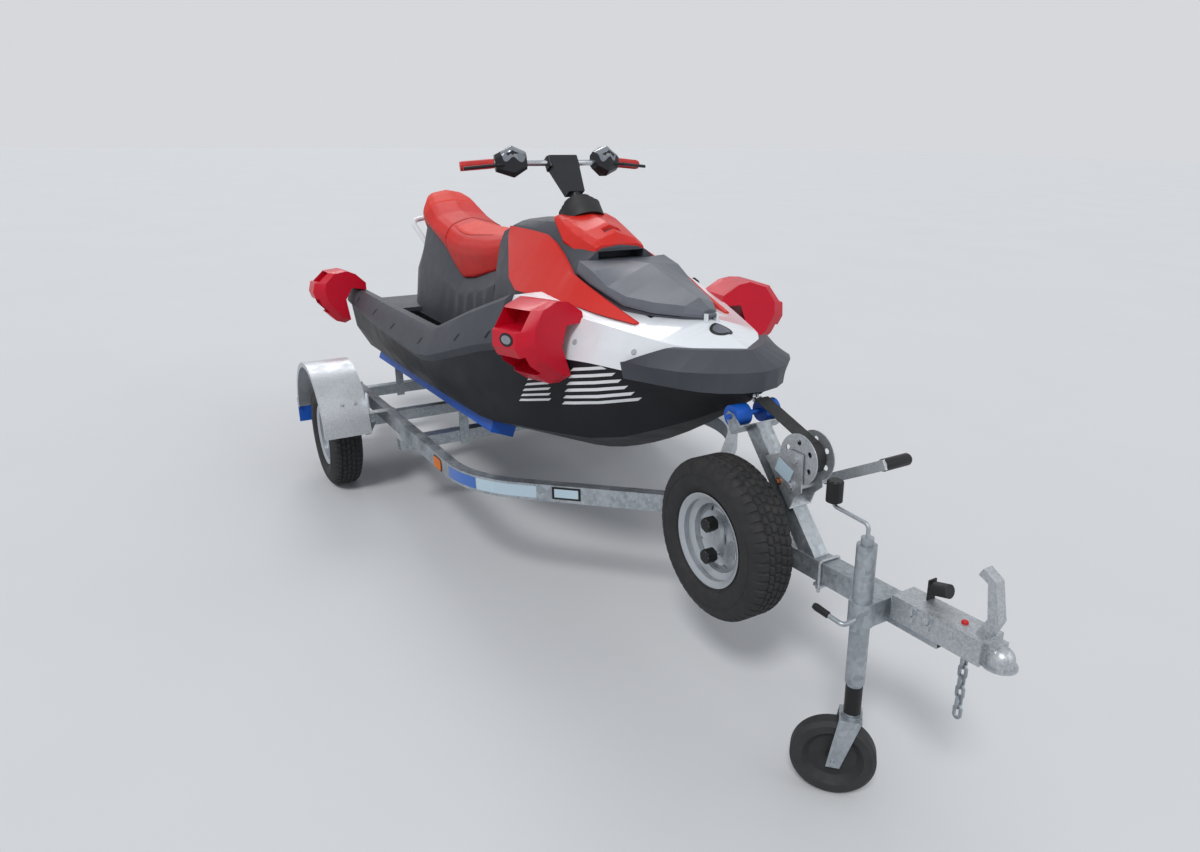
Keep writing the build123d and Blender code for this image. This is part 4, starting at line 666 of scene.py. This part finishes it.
SEAT_VOXEL = 0.0065
SEAT_ROUNDS = 5  # rounds of smoothing over the voxels
SEAM_FRONT = -0.090  # where the seam across the saddle meets the middle line
SEAM_BOW = 2.83  # how fast it runs forward down the sides, per metre
SEAM_END = 0.25  # it is sewn no further forward than this
SEAM_REACH = 0.165  # and its thread runs this far to each side
PATCH_REAR, PATCH_FRONT = -0.015, 0.41
PATCH_HALF = 0.112
PATCH_BEND = 0.1  # from here forward the patch narrows
PATCH_TAPER = 0.10
PATCH_THREAD = (0.0, 0.4)  # where its thread starts and ends
# Share of the painted sheen on the patch
PATCH_SHEEN = 0.8
LINE_PAST_REAR = 0.03  # the patch's channels start this far behind it
SHEEN_PAST_FRONT = 0.1  # and its painted sheen ends this far ahead of them
BAND_X = -0.335  # channel across the rear hump, with a painted sheen behind it
# Share of the painted sheen behind the hump's channel
HUMP_SHEEN = 0.55
CHANNEL_DEPTH = 0.0035
CHANNEL_HALF = 0.007
LESSER = 0.7  # depth of the patch's and the hump's channels, as a share
SIDES_UP, TOP_UP, HUMP_UP = -0.3, 0.1, 0.25  # least upward share of the surface's way out
OVER_SEAT = 1.35  # height from which the thread's lines are cast down
THREAD = 0.0019  # radius of the thread
THREAD_LIFT = 0.0004
STITCH, STITCH_PITCH = 3, 4  # points along a line in a stitch, and from one to the next


def seam_x(y):
    """Where the seam across the saddle runs, forward of the axle."""
    return SEAM_FRONT + SEAM_BOW * y * y


def seam_gap(x, y):
    """How far a place lies ahead of that seam, square to it."""
    return (x - seam_x(y)) / hypot(1, 2 * SEAM_BOW * y)


def patch_half(x):
    """Half the width of the patch on the saddle's top."""
    return PATCH_HALF - PATCH_TAPER * max(0.0, x - PATCH_BEND)


def channel(gap):
    """Depth of a sewn channel at a distance from its middle, as a share."""
    return exp(-(gap / CHANNEL_HALF) ** 2)


def relaxed_seat():
    """The seat's solid as a fine mesh with softened edges."""
    seat = NODES["seat"]
    soft = seat.copy()
    soft.data = seat.data.copy()
    soft.modifiers.clear()
    bpy.context.collection.objects.link(soft)
    soft.matrix_world = seat.matrix_world.copy()
    modify(soft, "weld", "WELD", merge_threshold=WELD)
    modify(soft, "voxels", "REMESH", mode="VOXEL", voxel_size=SEAT_VOXEL)
    modify(soft, "relaxed", "SMOOTH", factor=0.5, iterations=SEAT_ROUNDS)
    shape = soft.evaluated_get(bpy.context.evaluated_depsgraph_get())
    mesh = bpy.data.meshes.new_from_object(shape)
    bpy.data.objects.remove(soft)
    mesh.name = "seat_cover"
    mesh.transform(seat.matrix_world)
    return mesh


def press_channels(mesh):
    """Press the sewn channels into the cover, and note where its upward faces get a painted sheen."""
    sheen_marks = mesh.attributes.new("painted_sheen", "FLOAT", "POINT")
    normals = [vertex.normal.copy() for vertex in mesh.vertices]
    for vertex, normal in zip(mesh.vertices, normals):
        x, y, _ = level(vertex.co)
        up = normal.z
        gap, half = seam_gap(x, y), patch_half(x)
        sink = 0.0
        if up > SIDES_UP and x < SEAM_END:
            sink = max(sink, channel(gap))
        if PATCH_REAR - LINE_PAST_REAR < x < PATCH_FRONT and up > TOP_UP:
            sink = max(sink, LESSER * channel(abs(y) - half))
        if up > 0.0:
            sink = max(sink, LESSER * channel(x - BAND_X))
        vertex.co -= normal * CHANNEL_DEPTH * sink
        # Painted sheen, paler where the patch and the hump face up
        paler = 0.0
        if gap > 0 and PATCH_REAR < x < PATCH_FRONT + SHEEN_PAST_FRONT and abs(y) < half and up > TOP_UP:
            paler = PATCH_SHEEN
        if x < BAND_X and up > HUMP_UP:
            paler = HUMP_SHEEN
        sheen_marks.data[vertex.index].value = paler


def seat_cover():
    """Vinyl cover of the seat foam: soft edges, sewn channels, and a painted sheen where its top patch and
    rear hump face up.
    """
    mesh = relaxed_seat()
    piece = placed("seat_cover", mesh)
    press_channels(mesh)
    mesh.polygons.foreach_set("use_smooth", [True] * len(mesh.polygons))
    dress(piece, "seat_red")
    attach(piece, ROOT)
    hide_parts("seat")
    return piece


def seat_stitches(cover):
    """Dark thread along the seam across the saddle, and along the patch on its top."""
    skin = Skin(cover)
    down = plane_at(at(0, 0, OVER_SEAT), PLUMB, FORWARD)
    lines = [[(seam_x(y), y) for y in steps(-SEAM_REACH, SEAM_REACH, 110)]]
    for side in (-1, 1):
        lines.append([(x, side * patch_half(x)) for x in steps(*PATCH_THREAD, 90)])
    thread = Shape()
    for line in lines:
        hits = [skin.under(down, (down.inverted() @ at(x, y, OVER_SEAT))[:2]) for x, y in line]
        path = [hit[0] + hit[1] * THREAD_LIFT for hit in hits if hit]
        for first in range(0, len(path) - 2, STITCH_PITCH):
            thread.tube(path[first:first + STITCH], THREAD, 6)
    thread.made("seat_stitching", "thread_dark")


seat_stitches(seat_cover())


# Tyres

# Half of a tyre's outline, in millimetres: off its middle plane, and from its axle
TYRE_PROFILE = ((50, 127), (53, 135), (54, 143), (60, 152), (68, 163), (71.5, 174), (71.5, 192), (69.5, 207),
                (65, 218), (61, 226), (56, 234), (51, 238), (45, 241.5), (39, 243), (34, 243), (30.5, 243),
                (27, 243), (20, 243), (14, 243), (10.5, 243), (7, 243), (0, 243))

# Tread, in millimetres
INNER_GROOVE, OUTER_GROOVE = 10.5, 30.5  # grooves round the tread, off its middle plane
GROOVE_HALF = 2.0
GROOVE_DEPTH = 5.5
SLOT_DEPTH = 4.5  # slots between the blocks
SHOULDER = 57.0  # past this the slots are shallow
SHOULDER_DEPTH = 1.6
TREAD_EDGE = 66.0  # and past this there are none
TREAD_RADIUS = 205.0  # the tread's points lie further out than this
LEAN_STEP = 12.0  # how far across a slot goes before it moves on by one step

# Steps round a tyre
TYRE_STEPS = 432
BLOCK_STEPS = 8  # from one tread block to the next
SLOT_STEPS = 2
BLOCK_SHIFTS = (0, 2, 5)  # how far the middle, second and outer rows of blocks are moved on

SIDEWALL_RINGS = ((0.150, 0.0590), (0.1985, 0.0708))  # radius, and distance off the middle plane
RING_THICK = 0.0013

# Wheel nuts and valve, with profiles as (along the axis, radius)
RIM_FACE = 0.008  # the rim's flat, off the wheel's middle plane
STUD_CIRCLE = 0.05
STUDS = 4
NUT = ((-0.001, 0.0105), (0.010, 0.0105), (0.012, 0.009))
STUD_END = ((0.012, 0.0055), (0.017, 0.0055), (0.018, 0.0045))
VALVE_PLACE = Vector((0.078, 0, 0.055))
VALVE_SUNK = 0.002
VALVE = ((0, 0.007), (0.006, 0.005), (0.022, 0.0035), (0.024, 0.0045), (0.032, 0.0045), (0.033, 0.0035))


def tread_sink(y, turn):
    """Depth of the tread pattern at a place across and round the tyre."""
    off = abs(y)
    if min(abs(off - INNER_GROOVE), abs(off - OUTER_GROOVE)) < GROOVE_HALF:
        return GROOVE_DEPTH
    row = (off > INNER_GROOVE) + (off > OUTER_GROOVE)
    lean = int(off / LEAN_STEP) if off < OUTER_GROOVE else 0
    phase = (turn + BLOCK_SHIFTS[row] + (lean if y > 0 else -lean)) % BLOCK_STEPS
    if off > TREAD_EDGE or phase >= SLOT_STEPS:
        return 0.0
    return SHOULDER_DEPTH if off > SHOULDER else SLOT_DEPTH


def tyre(name, node, body):
    """Treaded tyre in place of a CAD one, with raised rings on its sidewalls."""
    low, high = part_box(node)
    middle = (low + high) / 2
    across = list(TYRE_PROFILE) + [(-y, r) for y, r in TYRE_PROFILE[-2::-1]]
    rings = []
    for turn, angle in enumerate(turns(TYRE_STEPS)):
        ring = []
        for y, r in across:
            radius = (r - (tread_sink(y, turn) if r > TREAD_RADIUS else 0.0)) / 1000
            ring.append(middle + Vector((radius * cos(angle), y / 1000, radius * sin(angle))))
        rings.append(ring)
    shape = Shape()
    shape.rings(rings, closed=True)
    piece = shape.made(name, "tyre_rubber", body, 28.0)
    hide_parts(node)
    raised = Shape()
    for side in (-1, 1):
        for radius, off in SIDEWALL_RINGS:
            path = circle(middle + TO_PORT * side * off, radius, Vector((1, 0, 0)), PLUMB, 72)
            raised.tube(path, RING_THICK, 6, closed=True)
    raised.made(name + "_sidewall_rings", "tyre_rubber", body)


def wheel_fittings(name, node, body, side):
    """Nuts on the wheel's studs, and its valve."""
    low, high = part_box(node)
    out = TO_PORT * side
    face = (low + high) / 2 + out * RIM_FACE
    nuts = Shape()
    for angle in turns(STUDS):
        spot = face + STUD_CIRCLE * Vector((cos(angle), 0, sin(angle)))
        nuts.turned(spot, out, NUT, 6)
        nuts.turned(spot, out, STUD_END, 12)
    nuts.made(name + "_nuts", "zinc", body, 25.0)
    valve = Shape()
    valve.turned(face + VALVE_PLACE - out * VALVE_SUNK, out, VALVE, 12)
    valve.made(name + "_valve", "knob_black", body)


tyre("tyre_port_treaded", "tyre_port", "port_wheel")
tyre("tyre_starboard_treaded", "tyre_starboard", "starboard_wheel")
tyre("spare_tyre_treaded", "spare_tyre", ROOT)


# Markings on the hull and the deck

# Places are level: forward of the axle, sideways, over the floor. Outlines are (u, v) on a plane.
STRIPES_PLACE, STRIPES_OUT = (1.50, 0.46, 0.725), (0.4, 0.85, -0.3)
# Aft and forward stack: lowest bar's corner and length, what each next bar adds to these, width, rise
STRIPES = (
    ((-0.175, -0.098, 0.152), (0.018, 0.020, -0.012), 0.009, 0.010),
    ((0.030, -0.100, 0.300), (0.016, 0.024, -0.030), 0.011, 0.008),
)
BARS = 6  # in each stack
BAR_CUT = 1.6  # slant of a bar's ends, per width

SLOT_Y, SLOT_OUT = 0.52, (0.05, 0.95, 0.25)
SLOTS = ((-0.409, 0.798), (-0.035, 0.784), (0.291, 0.763), (0.657, 0.760), (0.991, 0.833), (1.201, 0.883))
SLOT_OUTLINE = ((-0.016, -0.015), (-0.006, -0.015), (0.016, 0.015), (0.006, 0.015))

MAT_PLACE = (0.18, 0.345, 0.70)
MAT = (0.92, 0.17, 44, 0.35)  # length, width, points, squareness of its corners

BADGE_PLACE, BADGE_OUT = (1.902, 0, 0.945), (0.30, 0, 0.95)
BADGE_RIM, BADGE_FACE = 0.070, 0.052  # diameters

PLUGS = ((1.568, 0.317, 0.886), (1.776, 0.228, 0.880))
PLUG = ((0, 0.0095), (0.0035, 0.0095), (0.005, 0.0075))
PLUG_SUNK = 0.002

FENDER_PLACE, FENDER_OUT = (1.543, 0.54, 0.914), (0.25, 0.96, 0.07)
FENDER_RIM, FENDER_FACE = (0.064, 0.042, 30), (0.046, 0.027, 26)


def bar_outline(stack, row):
    """Slanting bar with cut ends, low end first."""
    lowest, added, width, rise = stack
    u, v, length = [value + row * more for value, more in zip(lowest, added)]
    end, tip, cut = u + length, v + rise, BAR_CUT * width
    return [(u, v), (end, tip), (end + cut, tip + width), (u + cut, v + width)]


def hull_stripes():
    """A plain design of slanting white bars on each side, in two stacks."""
    skin = Skin(NODES["hull"])
    for label, side in SIDES:
        here = side_plane(STRIPES_PLACE, side, STRIPES_OUT)
        white = Shape()
        for row in range(BARS):
            for stack in STRIPES:
                white.laid(skin, here, upright(bar_outline(stack, row), side), step=0.012)
        white.made(f"hull_stripes_{label}", "stripe_white")


def gunwale_slot_shades():
    """Dark sheets on the small slanting vents along the side mouldings: painted shade in their hollows."""
    skin = Skin(NODES["gunwales"])
    for label, side in SIDES:
        shape = Shape()
        for x, z in SLOTS:
            here = side_plane((x, SLOT_Y, z), side, SLOT_OUT)
            shape.laid(skin, here, upright(SLOT_OUTLINE, side), step=0.008, lift=0.0004)
        shape.made(f"gunwale_slot_shades_{label}", "slot_dark")


def footwell_mats():
    """Foam mats on the footwell floors."""
    skin = Skin(NODES["hull"], NODES["rear_deck"], NODES["seat_base"])
    for label, side in SIDES:
        here = plane_at(beside(MAT_PLACE, side), UPWARD, FORWARD)
        sheet(f"footwell_mat_{label}", "mat_black", skin, here, oval(*MAT), 0.02, lift=0.0012, thick=0.002)


def badge():
    """Blank round badge with a dark rim on the bow cover."""
    skin = Skin(NODES["bow_cover"])
    here = plane_at(at(*BADGE_PLACE), way(*BADGE_OUT), FORWARD)
    rim, face = oval(BADGE_RIM, BADGE_RIM, 36), oval(BADGE_FACE, BADGE_FACE, 32)
    sheet("badge_rim", "knob_black", skin, here, rim, 0.01, lift=0.0005, thick=0.0012)
    sheet("badge_face", "lid_grey", skin, here, face, 0.01, lift=0.0018, thick=0.0006)


def deck_plugs():
    """Round grey plugs on the sides of the bow cover."""
    skin = Skin(NODES["bow_cover"])
    plugs = Shape()
    for side in (-1, 1):
        for place in PLUGS:
            spot, normal = skin.near(beside(place, side))
            plugs.turned(spot - normal * PLUG_SUNK, normal, PLUG, 20)
    plugs.made("bow_cover_plugs", "plug_grey")


def fender_ovals():
    """Grey ovals with dark rims on the outer faces of the front fenders."""
    skin = Skin(NODES["front_fenders"])
    for label, side in SIDES:
        here = side_plane(FENDER_PLACE, side, FENDER_OUT)
        rim, face = oval(*FENDER_RIM), oval(*FENDER_FACE)
        sheet(f"fender_oval_rim_{label}", "knob_black", skin, here, rim, 0.01, lift=0.0004)
        sheet(f"fender_oval_{label}", "stripe_grey", skin, here, face, 0.01, lift=0.0016, thick=0.0006)


hull_stripes()
gunwale_slot_shades()
footwell_mats()
badge()
deck_plugs()
fender_ovals()


# Markings on the trailer's rails

REFLECTOR_PLACE, REFLECTOR_OUT = (0.993, 0.62, 0.360), (0.15, 0.98, 0.0)
REFLECTOR_FRAME, REFLECTOR = (0.084, 0.050, 28, 0.3), (0.076, 0.042, 28, 0.3)
RAIL_OUT, RAIL_ALONG = way(0.46, -0.89, 0.0), way(1, -0.5, 0)  # of the starboard rail's slanting part
STICKERS_PLACE = (1.29, -0.53, 0.366)
STICKER_HALF = 0.021
BLUE_STICKER, PALE_STICKER = (-0.195, -0.030), (-0.026, 0.205)  # ends along the rail
PLATE_PLACE = (1.547, -0.36, 0.368)
PLATE_EDGE, PLATE = (0.048, 0.022), (0.040, 0.015)  # half length and half width


def reflectors():
    """An amber reflector in a dark frame on each rail."""
    skin = Skin(NODES["rails"])
    for label, side in SIDES:
        here = side_plane(REFLECTOR_PLACE, side, REFLECTOR_OUT)
        edge, face = upright(oval(*REFLECTOR_FRAME), side), upright(oval(*REFLECTOR), side)
        sheet(f"reflector_frame_{label}", "knob_black", skin, here, edge, 0.012, lift=0.0004, thick=0.0012)
        sheet(f"reflector_{label}", "reflector_amber", skin, here, face, 0.012, lift=0.0018, thick=0.002)


def rail_labels():
    """Blank stickers and a framed blank plate on the starboard rail."""
    skin = Skin(NODES["rails"])
    here = plane_at(at(*STICKERS_PLACE), RAIL_OUT, RAIL_ALONG)
    blue, pale = oblong(*BLUE_STICKER, STICKER_HALF), oblong(*PALE_STICKER, STICKER_HALF)
    sheet("rail_sticker_blue", "sticker_blue", skin, here, blue, 0.014, lift=0.0003, thick=0.0004)
    sheet("rail_sticker_pale", "label_pale", skin, here, pale, 0.014, lift=0.0003, thick=0.0004)
    here = plane_at(at(*PLATE_PLACE), RAIL_OUT, RAIL_ALONG)
    edge, plate = [oblong(-half, half, width) for half, width in (PLATE_EDGE, PLATE)]
    sheet("rail_plate_edge", "knob_black", skin, here, edge, 0.012, lift=0.0003, thick=0.0005)
    sheet("rail_plate", "label_pale", skin, here, plate, 0.012, lift=0.0009, thick=0.0004)


reflectors()
rail_labels()


# Bolts, grips and small fittings

WASHER = 0.0016  # thickness

# Bolt heads: width across the flats, and height
GUARD_BOLT, COUPLING_BOLT = (0.013, 0.006), (0.017, 0.009)
WINCH_BOLT, PLATE_BOLT = (0.016, 0.008), (0.012, 0.006)
GUARD_BOLTS = ((0.271, 0.795, 0.445), (0.271, 0.739, 0.445))
COUPLING_BOLTS = ((2.691, 0.042, 0.400), (2.735, 0.042, 0.400))
WINCH_BOLT_PLACE = (2.273, -0.044, 0.572)

GRIP_OUTER, GRIP_INNER = (0.8241, 0.381, 1.4272), (0.8621, 0.240, 1.4372)
GRIP_RIBS = 13
RIB_START, RIB_PITCH = 0.006, 0.0082
RIB_CIRCLE, RIB_THICK = 0.0170, 0.0016
REFLECTION_ALONG = 0.192  # middle of the painted reflections on the housings, from a grip's outer end
REFLECTION_OUT = (0.25, 0, 1)
REFLECTION_OVAL = (0.096, 0.062, 32, 0.6)

CHEEK_PLACE, CHEEK_ALONG = (2.242, -0.040, 0.612), (1, 0, -0.4)
CHEEK_PLATE = (0.031, 0.021, 0.001)  # half length, half width, thickness
PLATE_BOLT_PLACE = (2.225, -0.0402, 0.575)

STRAP_X = 2.392  # U-bolt, with one half of its path as (sideways, up)
STRAP_BENDS = ((-0.0345, 0.310), (-0.0345, 0.390), (-0.033, 0.3965), (-0.026, 0.3995))
STRAP_THICK = 0.0045
STRAP_PLATE_Z, STRAP_PLATE, STRAP_PLATE_HALF = 0.332, (0.030, 0.090, 24, 0.3), 0.003
STRAP_NUT_Y, STRAP_NUT_Z, STRAP_NUT = 0.0345, 0.321, ((0, 0.008), (0.008, 0.008))

MARKER_PLACE, MARKER = (2.803, -0.001, 0.4165), ((0, 0.008), (0.004, 0.008), (0.0065, 0.006))

# Knobs: radius, height, lobes
SPARE_KNOBS = ((2.085, -0.1505, 0.322), (2.085, -0.1505, 0.422))
SPARE_KNOB = (0.0215, 0.0350, 6)
JOCKEY_KNOB_PLACE, JOCKEY_KNOB = (2.483, -0.098, 0.6185), (0.0195, 0.0570, 4)

# Sleeves, with profiles as (along, radius)
CRANK_PLACE = (2.4473, 0.106, 0.661)
CRANK_SLEEVE = ((0, 0.0155), (0.001, 0.0168), (0.090, 0.0168), (0.0955, 0.014))
CLAMP_START, CLAMP_END = (2.5640, -0.1730, 0.3680), (2.5235, -0.1823, 0.3784)
CLAMP_SLEEVE = ((0, 0.0070), (0.002, 0.0088), (0.036, 0.0096), (0.044, 0.0075))
LEG_PLACE = (2.595, -0.098, 0.0885)
LEG_SLEEVE = ((0, 0.0203), (0, 0.0210), (0.078, 0.0210), (0.078, 0.0203))


def hex_bolt(shape, place, out, across, rise):
    """Washer, and a six-sided head with a crowned top."""
    out = out.normalized()
    half = across / 2
    washer, head, crown = half * 1.7, half * 1.1, half * 0.9
    shape.turned(place, out, [(0, washer), (WASHER, washer)], 20)
    shape.turned(place + out * WASHER, out, [(0, head), (rise, head), (rise + 0.001, crown)], 6)


def frame_bolts():
    """Zinc bolts of the mudguards, the coupling and the winch frame."""
    bolts = Shape()
    guards, coupling = Skin(NODES["mudguards"]), Skin(NODES["coupling"])
    for side in (-1, 1):
        for place in GUARD_BOLTS:
            hex_bolt(bolts, *guards.near(beside(place, side)), *GUARD_BOLT)
        for place in COUPLING_BOLTS:
            hex_bolt(bolts, *coupling.near(beside(place, side)), *COUPLING_BOLT)
    winch = Skin(NODES["winch_frame"])
    hex_bolt(bolts, *winch.near(at(*WINCH_BOLT_PLACE)), *WINCH_BOLT)
    bolts.made("frame_bolts", "zinc", ROOT, 25.0)


def grip_line(side):
    """Outer end of a grip, and the way inwards along it."""
    outer, inner = beside(GRIP_OUTER, side), beside(GRIP_INNER, side)
    return outer, (inner - outer).normalized()


def grip_ribs():
    """Moulded rings along both grips."""
    for label, side in SIDES:
        outer, along = grip_line(side)
        across = along.orthogonal().normalized()
        ribs = Shape()
        for rib in range(GRIP_RIBS):
            middle = outer + along * (RIB_START + rib * RIB_PITCH)
            path = circle(middle, RIB_CIRCLE, across, along.cross(across), 28)
            ribs.tube(path, RIB_THICK, 6, closed=True)
        ribs.made(f"grip_ribs_{label}", "grip_red", "steering")


def housing_reflections():
    """Glossy grey sheets on the switch housings' tops: a painted reflection of the sky on the black
    housings.
    """
    skin = Skin(NODES["switch_housings"])
    for label, side in SIDES:
        outer, along = grip_line(side)
        here = plane_at(outer + along * REFLECTION_ALONG, way(*REFLECTION_OUT), along)
        sheet(f"housing_reflection_{label}", "mirror_grey", skin, here, oval(*REFLECTION_OVAL), 0.010, lift=0.0004,
              thick=0.0018, body="steering")


def winch_fittings():
    """Blank plate on the winch's cheek, and its copper bolt."""
    half, width, thick = CHEEK_PLATE
    cheek = plane_at(at(*CHEEK_PLACE), TO_STARBOARD, way(*CHEEK_ALONG))
    plate = Shape()
    plate.slab(cheek, oblong(-half, half, width), 0.0, thick)
    plate.made("winch_plate", "label_pale")
    bolt = Shape()
    hex_bolt(bolt, at(*PLATE_BOLT_PLACE), TO_STARBOARD, *PLATE_BOLT)
    bolt.made("winch_plate_bolt", "copper")


def drawbar_strap():
    """U-bolt with its plate and nuts round the drawbar."""
    half = list(STRAP_BENDS)
    strap = Shape()
    strap.tube([at(STRAP_X, y, z) for y, z in half + [(-y, z) for y, z in half[::-1]]], STRAP_THICK, 10)
    plate = plane_at(at(STRAP_X, 0, STRAP_PLATE_Z), UPWARD, FORWARD)
    strap.slab(plate, oval(*STRAP_PLATE), -STRAP_PLATE_HALF, STRAP_PLATE_HALF)
    for side in (-1, 1):
        strap.turned(at(STRAP_X, side * STRAP_NUT_Y, STRAP_NUT_Z), UPWARD, STRAP_NUT, 6)
    strap.made("drawbar_strap", "zinc", ROOT, 30.0)


def coupling_marker():
    """Red safety marker on the coupling."""
    button = Shape()
    button.turned(at(*MARKER_PLACE), UPWARD, MARKER, 20)
    button.made("coupling_marker", "button_red")


def fluted(shape, place, out, radius, rise, lobes):
    """Screw knob with rounded lobes and a crowned top."""
    here = plane_at(place, out, out.orthogonal())
    rim = [(radius * (1 + 0.05 * cos(lobes * t)), t) for t in turns(48)]
    rings = []
    for height, share in ((0, 0.94), (0.002, 1.0), (rise - 0.004, 1.0), (rise, 0.84)):
        rings.append([here @ Vector((share * r * cos(t), share * r * sin(t), height)) for r, t in rim])
    shape.rings(rings)


def clamp_knobs():
    """Knobs of the spare wheel's clamp, and the knob on the jockey tube's crank."""
    knobs = Shape()
    for place in SPARE_KNOBS:
        fluted(knobs, at(*place), TO_STARBOARD, *SPARE_KNOB)
    fluted(knobs, at(*JOCKEY_KNOB_PLACE), UPWARD, *JOCKEY_KNOB)
    knobs.made("clamp_knobs", "knob_black", ROOT, 30.0)


def sleeves():
    """Sleeves on the winch crank, the jockey clamp's handle and the jockey leg."""
    grips = Shape()
    grips.turned(at(*CRANK_PLACE), TO_PORT, CRANK_SLEEVE, 28)
    start, end = at(*CLAMP_START), at(*CLAMP_END)
    grips.turned(start, end - start, CLAMP_SLEEVE, 20)
    grips.made("crank_grips", "knob_black", ROOT, 30.0)
    leg = Shape()
    leg.turned(at(*LEG_PLACE), UPWARD, LEG_SLEEVE, 36)
    leg.made("jockey_leg_sleeve", "knob_black", ROOT, 30.0)


clamp_knobs()
sleeves()
frame_bolts()
grip_ribs()
housing_reflections()
winch_fittings()
drawbar_strap()
coupling_marker()
for label, side in SIDES:
    wheel_fittings(f"wheel_{label}", "tyre_" + label, label + "_wheel", side)


# Studio

FLOOR_REACH = 60.0
SKY_COLOUR, SKY_STRENGTH = (0.90, 0.94, 1.0, 1.0), 0.55
SEEN_COLOUR = srgb(214, 216, 219)

# Suns: name, where from, strength, width in degrees
SUNS = (
    ("key", (2.2, -2.6, 4.2), 1.45, 14.0),
    ("fill", (3.5, 3.0, 3.0), 0.4, 40.0),
    ("rim", (-4.0, 1.0, 3.4), 0.6, 20.0),
)


def make_floor():
    mesh = bpy.data.meshes.new("floor")
    corners = [(x, y, 0) for x, y in oblong(-FLOOR_REACH, FLOOR_REACH, FLOOR_REACH)]
    mesh.from_pydata(corners, [], [(0, 1, 2, 3)])
    floor = placed("floor", mesh)
    dress(floor, "floor")


def make_world():
    """Soft even light; camera, gloss and glass rays see a pale backdrop."""
    world = bpy.data.worlds.new("studio")
    bpy.context.scene.world = world
    world.use_nodes = True
    nodes, links = world.node_tree.nodes, world.node_tree.links
    light = nodes["Background"]
    light.inputs["Color"].default_value = SKY_COLOUR
    light.inputs["Strength"].default_value = SKY_STRENGTH
    seen = nodes.new("ShaderNodeBackground")
    seen.inputs["Color"].default_value = SEEN_COLOUR
    path = nodes.new("ShaderNodeLightPath")
    either = path.outputs["Is Camera Ray"]
    for name in ("Is Glossy Ray", "Is Transmission Ray"):
        most = nodes.new("ShaderNodeMath")
        most.operation = "MAXIMUM"
        links.new(either, most.inputs[0])
        links.new(path.outputs[name], most.inputs[1])
        either = most.outputs[0]
    mix = nodes.new("ShaderNodeMixShader")
    links.new(either, mix.inputs[0])
    links.new(light.outputs[0], mix.inputs[1])
    links.new(seen.outputs[0], mix.inputs[2])
    links.new(mix.outputs[0], nodes["World Output"].inputs["Surface"])


def make_sun(name, place, strength, width):
    data = bpy.data.lights.new(name, "SUN")
    data.energy = strength
    data.angle = radians(width)
    lamp = placed(name, data)
    lamp.rotation_euler = (-Vector(place)).to_track_quat("-Z", "Y").to_euler()


def make_camera():
    """The photo's camera."""
    flat = Vector((-cos(HEADING), sin(HEADING), 0))
    side = Vector((sin(HEADING), cos(HEADING), 0))
    ahead = cos(PITCH) * flat - sin(PITCH) * PLUMB
    down = -(sin(PITCH) * flat + cos(PITCH) * PLUMB)
    right = cos(ROLL) * side + sin(ROLL) * down
    below = -sin(ROLL) * side + cos(ROLL) * down
    data = bpy.data.cameras.new("camera")
    data.lens = LENS
    data.sensor_width = SENSOR
    camera = placed("camera", data)
    axes = Matrix((right, -below, -ahead)).transposed()
    camera.matrix_world = Matrix.Translation(EYE) @ axes.to_4x4()
    bpy.context.scene.camera = camera


make_floor()
make_world()
for values in SUNS:
    make_sun(*values)
make_camera()
bpy.context.scene.view_settings.view_transform = "Standard"
